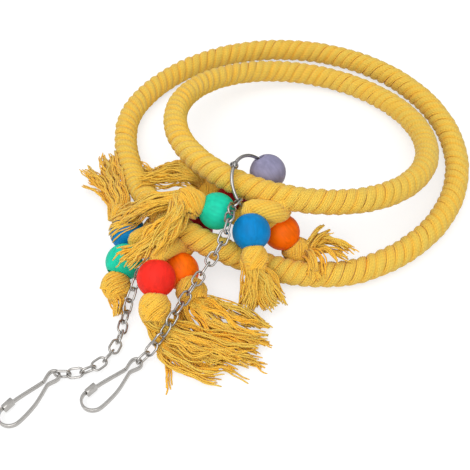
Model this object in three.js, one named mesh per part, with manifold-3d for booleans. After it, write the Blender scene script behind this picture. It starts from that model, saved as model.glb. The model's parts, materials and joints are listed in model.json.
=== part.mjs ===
// Bird rope rings: a large and a small ring of wound cotton rope, one lying inside the other. At its tie
// each ring carries four rope tails with wooden beads, knots and tassels, and a hinged wire ring with a
// fifth bead, a link chain and a wire snap hook. Millimetres, +Z up, standing on the floor as laid out.
import * as THREE from 'three';
import { mergeVertices } from 'three/addons/utils/BufferGeometryUtils.js';
import Module from 'manifold-3d';

const wasm = await Module();
wasm.setup();

// Driving dimensions: rope and rings
const ROPE_RADIUS = 7.5;
const WRAP_WALL = 2.9;
const LARGE_RADIUS = 109.5;
const SMALL_RADIUS = 80;
const CLEARANCE = 0.4;
const RUNNING_GAP = 0.3;
const WELD = 0.002;
const SNAP = 0.01;

// How the rings lie, in millimetres and degrees: pulls are [middle, reach, height] about the large tie
const LARGE_PULLS = [[-31, 45, 10], [32, 30, 6]];
const LARGE_LIFT_MIDDLE = 2;
const LARGE_LIFT_REACH = 42;
const SMALL_TIE = [33.7, 41.8];
const SMALL_CREST = 41.6;
const SMALL_CREST_HEADING = -82;
const SMALL_TIE_PAST_CREST = 11.5;

// Roots of the tails: [millimetres past the tie, degrees below the ring's outside]
const LARGE_LEFT_ROOT = [-9, 55];
const LARGE_RIGHT_ROOT = [14.5, 65];
const SMALL_LEFT_ROOT = [10.5, 40];
const SMALL_RIGHT_ROOT = [21, 35];

// Beads and tails
const BEAD_RADIUS = 10.5;
const TAIL_RADIUS = 4.2;
const KNOT_RADIUS = 8.2;
const KNOT_LENGTH = 13;
const HITCH_RADIUS = 6.4;
const HITCH_STAND = 1;
const KNOT_OVERLAP = 1;
const LEG_STRAIGHT = 3;
const RUN_PAST_BEAD = 1.5;
const LOCK_START = 2;

// Hinged wire rings, chains and hooks
const BINDER_RADIUS = 17;
const BINDER_WIRE = 2;
const KNUCKLE_RADIUS = 2.3;
const KNUCKLE_THICKNESS = 1;
const PIN_RADIUS = 0.8;
const PIN_HEAD_RADIUS = 1.7;
const PIN_HEAD_THICKNESS = 0.5;
const LARGE_LINKS = 15;
const SMALL_LINKS = 17;
const LINK_PITCH = 6.6;
const LINK_WIRE = 1.3;
const LINK_WIDTH = 6.6;
const CHAIN_ROOM = 2.5;
const BINDER_ROOM = 1;
const HOOK_LENGTH = 38;
const HOOK_WIDTH = 13.6;
const EYE_WIDTH = 7.4;
const STRIP_THICKNESS = 1.2;
const STRIP_HEIGHT = 2.6;
const CHANNEL_LENGTH = 6;
const CHANNEL_LIP = 0.5;
const CHANNEL_PAST_NOSE = 1;
const NECK_DROP = 1;
const NECK_STUB = 0.6;
const SHOULDER_OUT = 0.4;
const SHOULDER_DROP = 1.5;
const SPINE_IN = 0.9;
const SPINE_RISE = 11;
const EYE_FROM = 215;
const EYE_TO = -35;
const LARGE_HOOK_HEADING = 2;
const SMALL_HOOK_HEADING = -2;

// Facets
const ROPE_SIDES = 10;
const BORE_SIDES = 6;
const LARGE_STEPS = 44;
const SMALL_STEPS = 36;
const CORD_SIDES = 8;
const WIRE_SIDES = 6;
const LOCK_SIDES = 6;
const LEG_STEPS = 9;
const LOCK_STEPS = 6;
const BEAD_SIDES = 12;
const BEAD_STOPS = 7;
const LINK_STOPS = 5;
const BINDER_STEPS = 14;
const KNUCKLE_SEGMENTS = 6;
const PIN_SIDES = 10;
const HOOK_STEPS = 36;
const GATE_STEPS = 8;
const EYE_STOPS = 8;
const BOW_STOPS = 9;

// How finely things are eased apart
const RING_POINTS = 240;
const BINDER_POINTS = 72;
const LEAD_POINTS = 10;
const LOCK_POINTS = 30;
const ROUTE_POINTS = 400;
const ROUTE_LEAD = 30;
const ROUTE_PASSES = 6;
const BEAD_PASSES = 80;
const FLOOR_SIZE = 600;
const FLOOR_DEPTH = 20;

// Worked out from the driving dimensions
const BORE_RADIUS = ROPE_RADIUS - WRAP_WALL;
const ROPE_REACH = ROPE_RADIUS / Math.cos(Math.PI / ROPE_SIDES);
const BEAD_BORE = TAIL_RADIUS / Math.cos(Math.PI / CORD_SIDES) + RUNNING_GAP;
const BEAD_HALF = Math.sqrt(BEAD_RADIUS ** 2 - BEAD_BORE ** 2);
const LINK_REST = LINK_WIDTH / 2;

// The large ring's wire ring stands on the floor and holds the rope up
const LARGE_LIFT = [LARGE_LIFT_MIDDLE, LARGE_LIFT_REACH, 2 * BINDER_RADIUS - ROPE_REACH - ROPE_RADIUS];

// Colours of the finished surfaces
const COTTON = new THREE.MeshStandardMaterial({ color: 0xe3b940, roughness: 0.95 });
const CORE = new THREE.MeshStandardMaterial({ color: 0xe8dcc0, roughness: 0.95 });
const NICKEL = new THREE.MeshStandardMaterial({ color: 0xb9bcc0, roughness: 0.3, metalness: 1 });
const STAINS = {
  blue: 0x0a8fd8, green: 0x1fc49c, red: 0xf5352b, orange: 0xff6a00, maroon: 0xa3141b, purple: 0x7f72a8,
};
const WOODS = {};
for (const [name, color] of Object.entries(STAINS)) {
  WOODS[name] = new THREE.MeshStandardMaterial({ color, roughness: 0.35 });
}

const { degToRad } = THREE.MathUtils;
const UP = new THREE.Vector3(0, 0, 1);
const vec = (x, y, z) => new THREE.Vector3(x, y, z);
const along = (point, direction, distance) => point.clone().addScaledVector(direction, distance);

// Solids: skins over rows of sections, and joins and cuts between them

function volumeOf(position, index) {
  const [a, b, c] = [vec(), vec(), vec()];
  let sum = 0;
  for (let i = 0; i < index.length; i += 3) {
    a.fromBufferAttribute(position, index[i]);
    b.fromBufferAttribute(position, index[i + 1]);
    c.fromBufferAttribute(position, index[i + 2]);
    sum += a.dot(b.cross(c));
  }
  return sum / 6;
}

function skin(rows, closed = false) {
  const sides = rows[0].length;
  const points = rows.flat();
  const index = [];
  const spans = closed ? rows.length : rows.length - 1;
  for (let i = 0; i < spans; i += 1) {
    const next = (i + 1) % rows.length;
    for (let j = 0; j < sides; j += 1) {
      const beside = (j + 1) % sides;
      const [a, b] = [i * sides + j, i * sides + beside];
      const [c, d] = [next * sides + j, next * sides + beside];
      index.push(a, b, d, a, d, c);
    }
  }
  if (!closed) {
    const last = (rows.length - 1) * sides;
    for (let j = 1; j < sides - 1; j += 1) {
      index.push(0, j + 1, j, last, last + j, last + j + 1);
    }
  }
  const geometry = new THREE.BufferGeometry().setFromPoints(points);
  if (volumeOf(geometry.getAttribute('position'), index) < 0) index.reverse();
  return geometry.setIndex(index);
}

function solidOf(geometry) {
  const plain = geometry.clone();
  plain.deleteAttribute('normal');
  plain.deleteAttribute('uv');
  const merged = mergeVertices(plain, WELD);
  return new wasm.Manifold(new wasm.Mesh({
    numProp: 3,
    vertProperties: new Float32Array(merged.getAttribute('position').array),
    triVerts: new Uint32Array(merged.index.array),
  }));
}

function geometryOf(solid) {
  const mesh = solid.getMesh();
  const position = [];
  for (let i = 0; i < mesh.vertProperties.length; i += mesh.numProp) {
    position.push(...mesh.vertProperties.subarray(i, i + 3));
  }
  return new THREE.BufferGeometry()
    .setAttribute('position', new THREE.Float32BufferAttribute(position, 3))
    .setIndex([...mesh.triVerts]);
}

// The largest body of a cut solid, its corners on a fine grid so that slivers close up
function tidied(solid) {
  const geometry = geometryOf(largest(solid));
  const corners = geometry.getAttribute('position').array;
  corners.forEach((value, i) => {
    corners[i] = Math.round(value / SNAP) * SNAP;
  });
  return geometryOf(largest(solidOf(geometry)));
}

const join = (geometries) => geometries.map(solidOf).reduce((whole, piece) => whole.add(piece));

function largest(solid) {
  return solid.decompose().reduce((best, piece) => (piece.volume() > best.volume() ? piece : best));
}

function section(frame, wide, high, sides) {
  return Array.from({ length: sides }, (_, j) => {
    const turn = (j + 0.5) * 2 * Math.PI / sides - Math.PI / 2;
    return along(along(frame.point, frame.out, wide * Math.cos(turn)), frame.up, high * Math.sin(turn));
  });
}

// A frame on a curve, with out level and to the right of travel, and up square to both
function frameAt(curve, t) {
  const point = curve.getPoint(t);
  const tangent = curve.getTangent(t);
  const out = tangent.clone().cross(UP).normalize();
  return { point, tangent, out, up: out.clone().cross(tangent) };
}

// A cord over points, thicker and longer by a margin
function cord(points, radius, { sides = CORD_SIDES, steps = 2, flat = 1, grow = 1, margin = 0 } = {}) {
  const curve = new THREE.CatmullRomCurve3(points);
  const rows = Array.from({ length: steps + 1 }, (_, i) => {
    const share = i / steps;
    const reach = radius * (1 + (grow - 1) * share);
    const frame = frameAt(curve, share);
    if (i === 0) frame.point.addScaledVector(frame.tangent, -margin);
    if (i === steps) frame.point.addScaledVector(frame.tangent, margin);
    return section(frame, reach / Math.sqrt(flat) + margin, reach * Math.sqrt(flat) + margin, sides);
  });
  return skin(rows);
}

function ball(centre, axis, across, lengthwise) {
  const geometry = new THREE.SphereGeometry(1, CORD_SIDES, CORD_SIDES - 2).scale(across, lengthwise, across);
  const turn = new THREE.Quaternion().setFromUnitVectors(vec(0, 1, 0), axis);
  return geometry.applyQuaternion(turn).translate(centre.x, centre.y, centre.z);
}

function pieceOf(name, geometry, material) {
  const mesh = new THREE.Mesh(geometry, material);
  mesh.name = name;
  return mesh;
}

// The two rings' middle lines, each running anticlockwise from its tie at t = 0

const bump = (offset, [middle, reach, height]) => {
  const share = Math.abs(offset - middle) / reach;
  return share < 1 ? height * Math.cos(share * Math.PI / 2) ** 2 : 0;
};

class LargeRing extends THREE.Curve {
  getPoint(t, target = vec()) {
    const turn = THREE.MathUtils.euclideanModulo(t + 0.5, 1) * 360 - 180;
    const radius = LARGE_RADIUS - LARGE_PULLS.reduce((sum, pull) => sum + bump(turn, pull), 0);
    const angle = degToRad(turn);
    const height = ROPE_RADIUS + bump(turn, LARGE_LIFT);
    return target.set(radius * Math.sin(angle), LARGE_RADIUS - radius * Math.cos(angle), height);
  }
}

class SmallRing extends THREE.Curve {
  constructor() {
    super();
    this.tilt = Math.asin((SMALL_CREST - ROPE_RADIUS) / (2 * SMALL_RADIUS));
    this.centre = vec(0, 0, ROPE_RADIUS + SMALL_RADIUS * Math.sin(this.tilt));
    const tie = this.getPoint(0);
    this.centre.x = SMALL_TIE[0] - tie.x;
    this.centre.y = SMALL_TIE[1] - tie.y;
  }

  getPoint(t, target = vec()) {
    const turn = degToRad(SMALL_TIE_PAST_CREST) + t * 2 * Math.PI;
    target.set(SMALL_RADIUS * Math.cos(turn), SMALL_RADIUS * Math.sin(turn), 0);
    target.applyAxisAngle(vec(0, 1, 0), -this.tilt).applyAxisAngle(UP, degToRad(SMALL_CREST_HEADING));
    return target.add(this.centre);
  }
}

const largeRing = new LargeRing();
const smallRing = new SmallRing();

function ringSkin(curve, steps, radius, sides) {
  const reach = radius / Math.cos(Math.PI / sides);
  const rows = Array.from({ length: steps }, (_, i) => (
    section(frameAt(curve, i / steps), reach, reach, sides)
  ));
  return skin(rows, true);
}

// Hinged wire rings: a circle round the rope, its middle off the rope's middle along a direction
const SAG = BINDER_RADIUS - Math.sqrt(BINDER_RADIUS ** 2 - BEAD_RADIUS ** 2);
const BEAD_REACH = BINDER_RADIUS - SAG / 2;
const WIRE_BORE = SAG / 2 + BINDER_WIRE / 2 + RUNNING_GAP;
const HANGING = BINDER_RADIUS - BINDER_WIRE / 2 - ROPE_REACH - CLEARANCE;
const LEANING = ROPE_REACH + BEAD_RADIUS + CLEARANCE - BEAD_REACH;

function atDistance(away, ringRadius) {
  return THREE.MathUtils.euclideanModulo(away / (2 * Math.PI * ringRadius), 1);
}

function binderPlan(curve, ringRadius, { away, lean, hang, offset, beadTurn, chainTurn, ...turns }) {
  const rope = frameAt(curve, atDistance(away, ringRadius));
  const inward = rope.out.clone().negate();
  const rise = rope.up.clone().multiplyScalar(Math.cos(degToRad(lean)));
  rise.addScaledVector(rope.tangent, -Math.sin(degToRad(lean)));
  const normal = inward.clone().cross(rise).normalize();
  const radial = (turn) => inward.clone().applyAxisAngle(normal, degToRad(turn));
  const centre = along(rope.point, radial(hang), offset);
  const at = (turn) => along(centre, radial(turn), BINDER_RADIUS);
  const tangentAt = (turn) => normal.clone().cross(radial(turn));
  const bead = along(centre, radial(beadTurn), BEAD_REACH);
  const points = Array.from({ length: BINDER_POINTS }, (_, i) => at(i * 360 / BINDER_POINTS));
  const lead = Array.from({ length: LEAD_POINTS }, (_, i) => (
    along(at(chainTurn), radial(chainTurn), i * LINK_PITCH / 4)
  ));
  return { ...turns, beadTurn, chainTurn, rope, normal, centre, radial, at, tangentAt, bead, points, lead };
}

const largeBinder = binderPlan(largeRing, LARGE_RADIUS, {
  away: 7,
  lean: 0,
  hang: -90,
  offset: HANGING,
  hingeTurn: 36,
  latchTurn: 216,
  beadTurn: -26,
  chainTurn: 180,
});
const smallBinder = binderPlan(smallRing, SMALL_RADIUS, {
  away: -6,
  lean: 42,
  hang: -5,
  offset: LEANING,
  hingeTurn: 100,
  latchTurn: 280,
  beadTurn: -12,
  chainTurn: 172,
});

// Beads on the tails: hand-chosen places, then eased clear of the ropes, the wire rings and each other
const TAILS = {
  large_blue: { bead: [-22.5, -10.8, 10.5], run: [-0.94, 0.34, -0.05] },
  large_green: { bead: [-8.2, -27.9, 10.5], run: [0.1, -0.95, -0.3] },
  large_red: { bead: [23.5, -33, 25.5], run: [0.55, -0.7, -0.45] },
  large_orange: { bead: [22.3, -13.9, 13.5], run: [0.91, -0.41, -0.05] },
  small_green: { bead: [23.4, 18.9, 36], run: [-0.74, -0.55, 0.38] },
  small_maroon: { bead: [13.4, 39.9, 20], run: [-0.98, 0.05, -0.15] },
  small_blue: { bead: [45.4, 19.7, 34], run: [0.65, -0.6, -0.45] },
  small_orange: { bead: [49.3, 42.4, 18], run: [0.7, 0.1, -0.6] },
};

function ringPoints(curve) {
  return Array.from({ length: RING_POINTS }, (_, i) => curve.getPoint(i / RING_POINTS));
}

const OBSTACLES = [
  { points: ringPoints(largeRing), radius: ROPE_REACH },
  { points: ringPoints(smallRing), radius: ROPE_REACH },
  { points: largeBinder.points, radius: BINDER_WIRE / 2 },
  { points: smallBinder.points, radius: BINDER_WIRE / 2 },
  { points: [largeBinder.bead, smallBinder.bead], radius: BEAD_RADIUS },
  { points: [...largeBinder.lead, ...smallBinder.lead], radius: LINK_WIDTH / 2, leads: true },
];

// Moves a round thing's middle out of whatever it touches
function easeClear(middle, radius, obstacles, share = 1) {
  for (const { points, radius: thick } of obstacles) {
    const nearer = (best, p) => (p.distanceToSquared(middle) < best.distanceToSquared(middle) ? p : best);
    const near = points.reduce(nearer);
    const short = thick + radius + CLEARANCE - near.distanceTo(middle);
    if (short > 0) middle.addScaledVector(middle.clone().sub(near).normalize(), short * share);
  }
  middle.z = Math.max(middle.z, radius);
}

for (const tail of Object.values(TAILS)) {
  tail.middle = vec(...tail.bead);
  tail.axis = vec(...tail.run).normalize();
}
for (let pass = 0; pass < BEAD_PASSES; pass += 1) {
  for (const tail of Object.values(TAILS)) {
    const others = Object.values(TAILS).filter((other) => other !== tail);
    const balls = others.map((other) => ({ points: [other.middle], radius: BEAD_RADIUS }));
    easeClear(tail.middle, BEAD_RADIUS, OBSTACLES);
    easeClear(tail.middle, BEAD_RADIUS, balls, 0.5);
  }
}
for (const tail of Object.values(TAILS)) {
  tail.entry = along(tail.middle, tail.axis, -BEAD_HALF);
  tail.knot = along(tail.middle, tail.axis, BEAD_HALF + KNOT_LENGTH / 2);
}

// What hangs on each root: the bends of each leg before its bead, and the locks of each tassel
const largeLeft = [
  {
    tail: TAILS.large_blue,
    bends: [[-9, -9, 13]],
    tassels: [{ points: [[-50, 0, 7], [-64, 11, 5], [-82, 21, 4]], thick: 5, flat: 0.6, grow: 1.5 }],
  },
  {
    tail: TAILS.large_green,
    bends: [[-6, -10, 21], [-9, -16, 19]],
    tassels: [{ points: [[3, -50, 5], [3, -57, 3]], thick: 5, flat: 0.6, grow: 1.1 }],
  },
];
const largeRight = [
  {
    tail: TAILS.large_orange,
    bends: [[14, -7, 12.5]],
    tassels: [{ points: [[46, -16, 7], [60, -12, 5], [76, -9, 4]], thick: 5.5, flat: 0.5, grow: 1.6 }],
  },
  {
    tail: TAILS.large_red,
    bends: [[15, -10, 25.5], [16, -17, 29]],
    tassels: [
      { points: [[43, -43, 9], [55, -40, 6], [70, -38, 5], [88, -35, 4]], thick: 5.5, flat: 0.5, grow: 1.8 },
    ],
  },
];
const smallLeft = [
  {
    tail: TAILS.small_maroon,
    bends: [[41, 32, 27], [32, 36, 21]],
    tassels: [
      { points: [[-18, 42, 18], [-33, 45, 14], [-46, 42, 8], [-55, 39, 5]], thick: 5, flat: 0.7, grow: 1.4 },
    ],
  },
  {
    tail: TAILS.small_green,
    bends: [[39, 31, 32]],
    tassels: [
      { points: [[2, 5, 42], [-9, -2, 38], [-20, -10, 22], [-26, -17, 8]], thick: 5, flat: 0.6, grow: 1.5 },
      { points: [[12, -1, 42], [14, -12, 38], [13, -21, 33], [11, -29, 27]], thick: 5, flat: 0.6, grow: 1.4 },
    ],
  },
];
const smallRight = [
  {
    tail: TAILS.small_orange,
    bends: [[47, 44, 33]],
    tassels: [
      { points: [[71, 50, 10], [78, 57, 6]], thick: 5, flat: 0.7, grow: 1.2 },
      { points: [[67, 33, 20], [70, 22, 18], [73, 14, 11]], thick: 4.5, flat: 0.6, grow: 1.2 },
    ],
  },
  {
    tail: TAILS.small_blue,
    bends: [[48, 37, 38]],
    tassels: [{ points: [[61, 7, 21], [69, 4, 11], [78, 5, 5]], thick: 5.5, flat: 0.6, grow: 1.5 }],
  },
];

function lockPoints(tail, lock) {
  return [along(tail.knot, tail.axis, LOCK_START), ...lock.points.map((point) => vec(...point))];
}

// Chains: each link's two ends lie on a hand-chosen route, eased clear of what it crosses
const CROSSED = [
  ...OBSTACLES.filter(({ leads }) => !leads),
  ...Object.values(TAILS).map((tail) => ({ points: [tail.middle], radius: BEAD_RADIUS })),
  ...Object.values(TAILS).map((tail) => ({ points: [tail.knot], radius: KNOT_RADIUS })),
  ...[...largeLeft, ...largeRight].flatMap(({ tail, tassels }) => tassels.map((lock) => ({
    points: new THREE.CatmullRomCurve3(lockPoints(tail, lock)).getSpacedPoints(LOCK_POINTS),
    radius: lock.thick * Math.sqrt(lock.flat * lock.grow),
  }))),
];

function chainEnds(plan, route, count) {
  const out = plan.radial(plan.chainTurn);
  const start = along(plan.at(plan.chainTurn), out, -BINDER_WIRE / 2 - RUNNING_GAP / 2);
  const waypoints = [start, along(start, out, LINK_PITCH), ...route.map((point) => vec(...point))];
  const curve = new THREE.CatmullRomCurve3(waypoints);
  const fine = curve.getSpacedPoints(ROUTE_POINTS);
  fine.slice(ROUTE_LEAD).forEach((point) => {
    for (let pass = 0; pass < ROUTE_PASSES; pass += 1) easeClear(point, LINK_REST, CROSSED);
  });
  const ends = [fine[0]];
  for (const [i, point] of fine.entries()) {
    const last = ends[ends.length - 1];
    const distance = point.distanceTo(last);
    if (ends.length > count || distance < LINK_PITCH || i === 0) continue;
    ends.push(along(last, point.clone().sub(last).normalize(), LINK_PITCH));
  }
  return ends;
}

const LARGE_ROUTE = [
  [7, -29, 16.2], [9, -36, 12], [11, -43, 6.5], [14.5, -50, LINK_REST], [20.5, -58.5, LINK_REST],
  [26, -69, LINK_REST], [27.5, -80, LINK_REST], [24.5, -90, LINK_REST], [18, -97.5, LINK_REST],
  [11, -103, LINK_REST],
];
const SMALL_ROUTE = [
  [33.8, 15.2, 45], [38.2, 9.2, 45], [40.5, 3, 41], [40.5, -3.5, 34], [39.5, -10, 28], [40, -19, 24],
  [41.5, -28, 22], [43, -36, 20.8], [44.5, -43, 19.3], [45, -48.5, 16.3], [44.3, -53.5, 11.5],
  [43, -59, 6.3], [42, -65, LINK_REST], [41.7, -72, LINK_REST], [42, -90, LINK_REST],
];

// One oval link about its own middle: long way along X, flat in the XY plane
function linkGeometry() {
  const bend = (LINK_WIDTH - LINK_WIRE) / 2;
  const straight = (LINK_PITCH + RUNNING_GAP + LINK_WIRE) / 2 - bend;
  const rows = [];
  for (const end of [1, -1]) {
    for (let i = 0; i < LINK_STOPS; i += 1) {
      const turn = (i / (LINK_STOPS - 1) - 0.5) * Math.PI;
      const out = vec(end * Math.cos(turn), end * Math.sin(turn), 0);
      const point = vec(end * straight, 0, 0).addScaledVector(out, bend);
      rows.push(section({ point, out, up: UP }, LINK_WIRE / 2, LINK_WIRE / 2, WIRE_SIDES));
    }
  }
  return skin(rows, true);
}

// The links of one chain, each a quarter turn about its length from the one before, with a slow twist that
// leans them over in mid chain and stands the last one upright in the hook's flat eye
function chainOf(name, plan, ends) {
  const lengths = ends.slice(1).map((end, i) => end.clone().sub(ends[i]).normalize());
  const flats = [];
  let flat = plan.tangentAt(plan.chainTurn);
  for (const length of lengths) {
    flat = flat.clone().addScaledVector(length, -flat.dot(length)).normalize();
    flats.push(flat);
    flat = flat.clone().cross(length);
  }
  const last = lengths.length - 1;
  const level = lengths[last].clone().cross(UP).normalize();
  const twist = Math.atan2(flats[last].clone().cross(level).dot(lengths[last]), flats[last].dot(level));
  let pivot = flats[0];
  const links = lengths.map((length, i) => {
    const normal = flats[i].clone().applyAxisAngle(length, twist * i / last);
    const across = normal.clone().cross(length);
    const link = pieceOf(`${name}_link_${String(i + 1).padStart(2, '0')}`, linkGeometry(), NICKEL);
    link.quaternion.setFromRotationMatrix(new THREE.Matrix4().makeBasis(length, across, normal));
    link.position.copy(ends[i]).lerp(ends[i + 1], 0.5);
    link.userData.joint = { at: ends[i], axis: pivot };
    pivot = across;
    return link;
  });
  return { links, end: ends[last + 1], axis: pivot };
}

// Snap hook: flat strip bent in the XY plane, eye at the origin, nose towards -Y, gate on the -X side
const BOW = (HOOK_WIDTH - STRIP_THICKNESS) / 2;
const BOW_MIDDLE = STRIP_THICKNESS - HOOK_LENGTH + BOW;
const EYE = (EYE_WIDTH - STRIP_THICKNESS) / 2;
const NECK_HALF = STRIP_THICKNESS / 2 + RUNNING_GAP;
const NECK = -2 * EYE - NECK_DROP;
const STUB_END = NECK - NECK_STUB;
const CHANNEL_TOP = BOW_MIDDLE + CHANNEL_LENGTH;
const NOSE_TOP = CHANNEL_TOP - CHANNEL_PAST_NOSE;

function strip(points, steps) {
  const curve = new THREE.CatmullRomCurve3(points.map(([x, y]) => vec(x, y, 0)), false, 'chordal');
  const rows = Array.from({ length: steps + 1 }, (_, i) => {
    const { point, out, up } = frameAt(curve, curve.getUtoTmapping(i / steps));
    const corner = (side, level) => (
      along(along(point, out, side * STRIP_THICKNESS / 2), up, level * STRIP_HEIGHT / 2)
    );
    return [corner(-1, -1), corner(1, -1), corner(1, 1), corner(-1, 1)];
  });
  return skin(rows);
}

function arc(x, y, radius, from, to, count) {
  return Array.from({ length: count }, (_, i) => {
    const turn = degToRad(from + (to - from) * i / (count - 1));
    return [x + radius * Math.cos(turn), y + radius * Math.sin(turn)];
  });
}

function hookBody() {
  const linkInside = LINK_WIDTH / 2 - LINK_WIRE;
  const bowRise = linkInside - Math.sqrt(linkInside ** 2 - (STRIP_HEIGHT / 2) ** 2);
  const eyeTop = RUNNING_GAP + bowRise + STRIP_THICKNESS / 2;
  return strip([
    [-NECK_HALF, STUB_END],
    [-NECK_HALF, NECK],
    ...arc(0, eyeTop - EYE, EYE, EYE_FROM, EYE_TO, EYE_STOPS),
    [NECK_HALF, NECK],
    [NECK_HALF + SHOULDER_OUT, NECK - SHOULDER_DROP],
    [BOW - SPINE_IN, BOW_MIDDLE + SPINE_RISE],
    ...arc(0, BOW_MIDDLE, BOW, 0, -180, BOW_STOPS),
    [-BOW, NOSE_TOP],
  ], HOOK_STEPS);
}

function hookGate() {
  const root = [-NECK_HALF, STUB_END - RUNNING_GAP];
  const face = -BOW + STRIP_THICKNESS + RUNNING_GAP;
  const channelMiddle = CHANNEL_TOP - CHANNEL_LENGTH / 2;
  const arm = strip([root, [face, CHANNEL_TOP], [face, CHANNEL_TOP - CHANNEL_LENGTH]], GATE_STEPS);
  const lipHeight = STRIP_HEIGHT / 2 + RUNNING_GAP + CHANNEL_LIP / 2;
  const lipWidth = 2 * STRIP_THICKNESS + RUNNING_GAP;
  const lipMiddle = face + (STRIP_THICKNESS - lipWidth) / 2;
  const web = new THREE.BoxGeometry(STRIP_THICKNESS, CHANNEL_LENGTH, 2 * lipHeight + CHANNEL_LIP);
  web.translate(face, channelMiddle, 0);
  const lips = [-1, 1].map((side) => (
    new THREE.BoxGeometry(lipWidth, CHANNEL_LENGTH, CHANNEL_LIP)
      .translate(lipMiddle, channelMiddle, side * lipHeight)
  ));
  return geometryOf(join([arm, web, ...lips]));
}

function hookOf(name, chain, heading) {
  const hook = new THREE.Group();
  hook.position.copy(chain.end);
  hook.rotation.z = degToRad(heading);
  const body = pieceOf(`${name}_hook`, hookBody(), NICKEL);
  const gate = pieceOf(`${name}_hook_gate`, hookGate(), NICKEL);
  body.userData.joint = { at: chain.end, axis: chain.axis };
  const pivot = vec(-NECK_HALF, STUB_END, 0).applyAxisAngle(UP, hook.rotation.z).add(chain.end);
  gate.userData.joint = { at: pivot, axis: UP };
  return hook.add(body, gate);
}

// Hinged wire ring: a fixed arm with the chain, a gate with the bead, and a riveted pin
function binderOf(name, plan) {
  const basis = new THREE.Matrix4().makeBasis(plan.radial(0), plan.radial(90), plan.normal);
  const holder = new THREE.Group();
  holder.quaternion.setFromRotationMatrix(basis);
  holder.position.copy(plan.centre);
  const level = RUNNING_GAP / 2 + KNUCKLE_THICKNESS / 2;
  const eyeClear = Math.asin((KNUCKLE_RADIUS + RUNNING_GAP) / BINDER_RADIUS);
  const latchClear = RUNNING_GAP / 2 / BINDER_RADIUS;
  const hinge = degToRad(plan.hingeTurn);
  const latch = degToRad(plan.latchTurn);
  const knuckleAt = [BINDER_RADIUS * Math.cos(hinge), BINDER_RADIUS * Math.sin(hinge)];
  const half = (from, to, side) => {
    const rows = Array.from({ length: BINDER_STEPS + 1 }, (_, i) => {
      const turn = from + (to - from) * i / BINDER_STEPS;
      const out = vec(Math.cos(turn), Math.sin(turn), 0);
      const point = out.clone().multiplyScalar(BINDER_RADIUS);
      return section({ point, out, up: UP }, BINDER_WIRE / 2, BINDER_WIRE / 2, WIRE_SIDES);
    });
    const outline = new THREE.Shape().absarc(...knuckleAt, KNUCKLE_RADIUS, 0, 2 * Math.PI);
    outline.holes.push(new THREE.Path().absarc(...knuckleAt, PIN_RADIUS + RUNNING_GAP, 0, 2 * Math.PI));
    const options = { depth: KNUCKLE_THICKNESS, bevelEnabled: false, curveSegments: KNUCKLE_SEGMENTS };
    const knuckle = new THREE.ExtrudeGeometry(outline, options);
    knuckle.translate(0, 0, side * level - KNUCKLE_THICKNESS / 2);
    const tabMiddle = PIN_RADIUS + 2 * RUNNING_GAP + KNUCKLE_RADIUS / 2;
    const tab = new THREE.BoxGeometry(BINDER_WIRE, KNUCKLE_RADIUS, KNUCKLE_THICKNESS)
      .translate(0, Math.sign(to - from) * tabMiddle, side * level)
      .rotateZ(hinge)
      .translate(...knuckleAt, 0);
    return geometryOf(join([skin(rows), knuckle, tab]));
  };
  const armGeometry = half(hinge + eyeClear, latch - latchClear, 1);
  const gateGeometry = half(hinge - eyeClear, latch - 2 * Math.PI + latchClear, -1);
  const arm = pieceOf(`${name}_binder_arm`, armGeometry, NICKEL);
  const gate = pieceOf(`${name}_binder_gate`, gateGeometry, NICKEL);
  const shank = KNUCKLE_THICKNESS + 1.5 * RUNNING_GAP;
  const headTop = shank + PIN_HEAD_THICKNESS;
  const profile = [
    [0, -headTop], [PIN_HEAD_RADIUS, -headTop], [PIN_HEAD_RADIUS, -shank], [PIN_RADIUS, -shank],
    [PIN_RADIUS, shank], [PIN_HEAD_RADIUS, shank], [PIN_HEAD_RADIUS, headTop], [0, headTop],
  ].map(([x, y]) => new THREE.Vector2(x, y));
  const pinGeometry = new THREE.LatheGeometry(profile, PIN_SIDES).rotateX(Math.PI / 2);
  const pin = pieceOf(`${name}_binder_pin`, pinGeometry, NICKEL);
  pin.position.set(...knuckleAt, 0);
  arm.userData.joint = { at: plan.rope.point, axis: plan.rope.tangent };
  gate.userData.joint = { at: plan.at(plan.hingeTurn), axis: plan.normal };
  return holder.add(arm, gate, pin);
}

// Beads: stained wooden balls with a straight bore along their own Z
function beadGeometry(bore) {
  const flat = Math.acos(bore / BEAD_RADIUS);
  const profile = Array.from({ length: BEAD_STOPS }, (_, i) => {
    const turn = flat * (2 * i / (BEAD_STOPS - 1) - 1);
    return new THREE.Vector2(BEAD_RADIUS * Math.cos(turn), BEAD_RADIUS * Math.sin(turn));
  });
  profile.push(profile[0].clone());
  return new THREE.LatheGeometry(profile, BEAD_SIDES).rotateX(Math.PI / 2);
}

function beadOf(name, wood, bore, middle, axis) {
  const bead = pieceOf(name, beadGeometry(bore), wood);
  bead.position.copy(middle);
  bead.quaternion.setFromUnitVectors(UP, axis);
  bead.userData.joint = { at: middle, axis };
  return bead;
}

function ringBeadOf(name, wood, plan) {
  return beadOf(`${name}_bead_on_ring`, wood, WIRE_BORE, plan.bead, plan.tangentAt(plan.beadTurn));
}

// Tails: legs from a hole in the wrap to the beads, a straight run through each bead, knots and tassels

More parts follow.
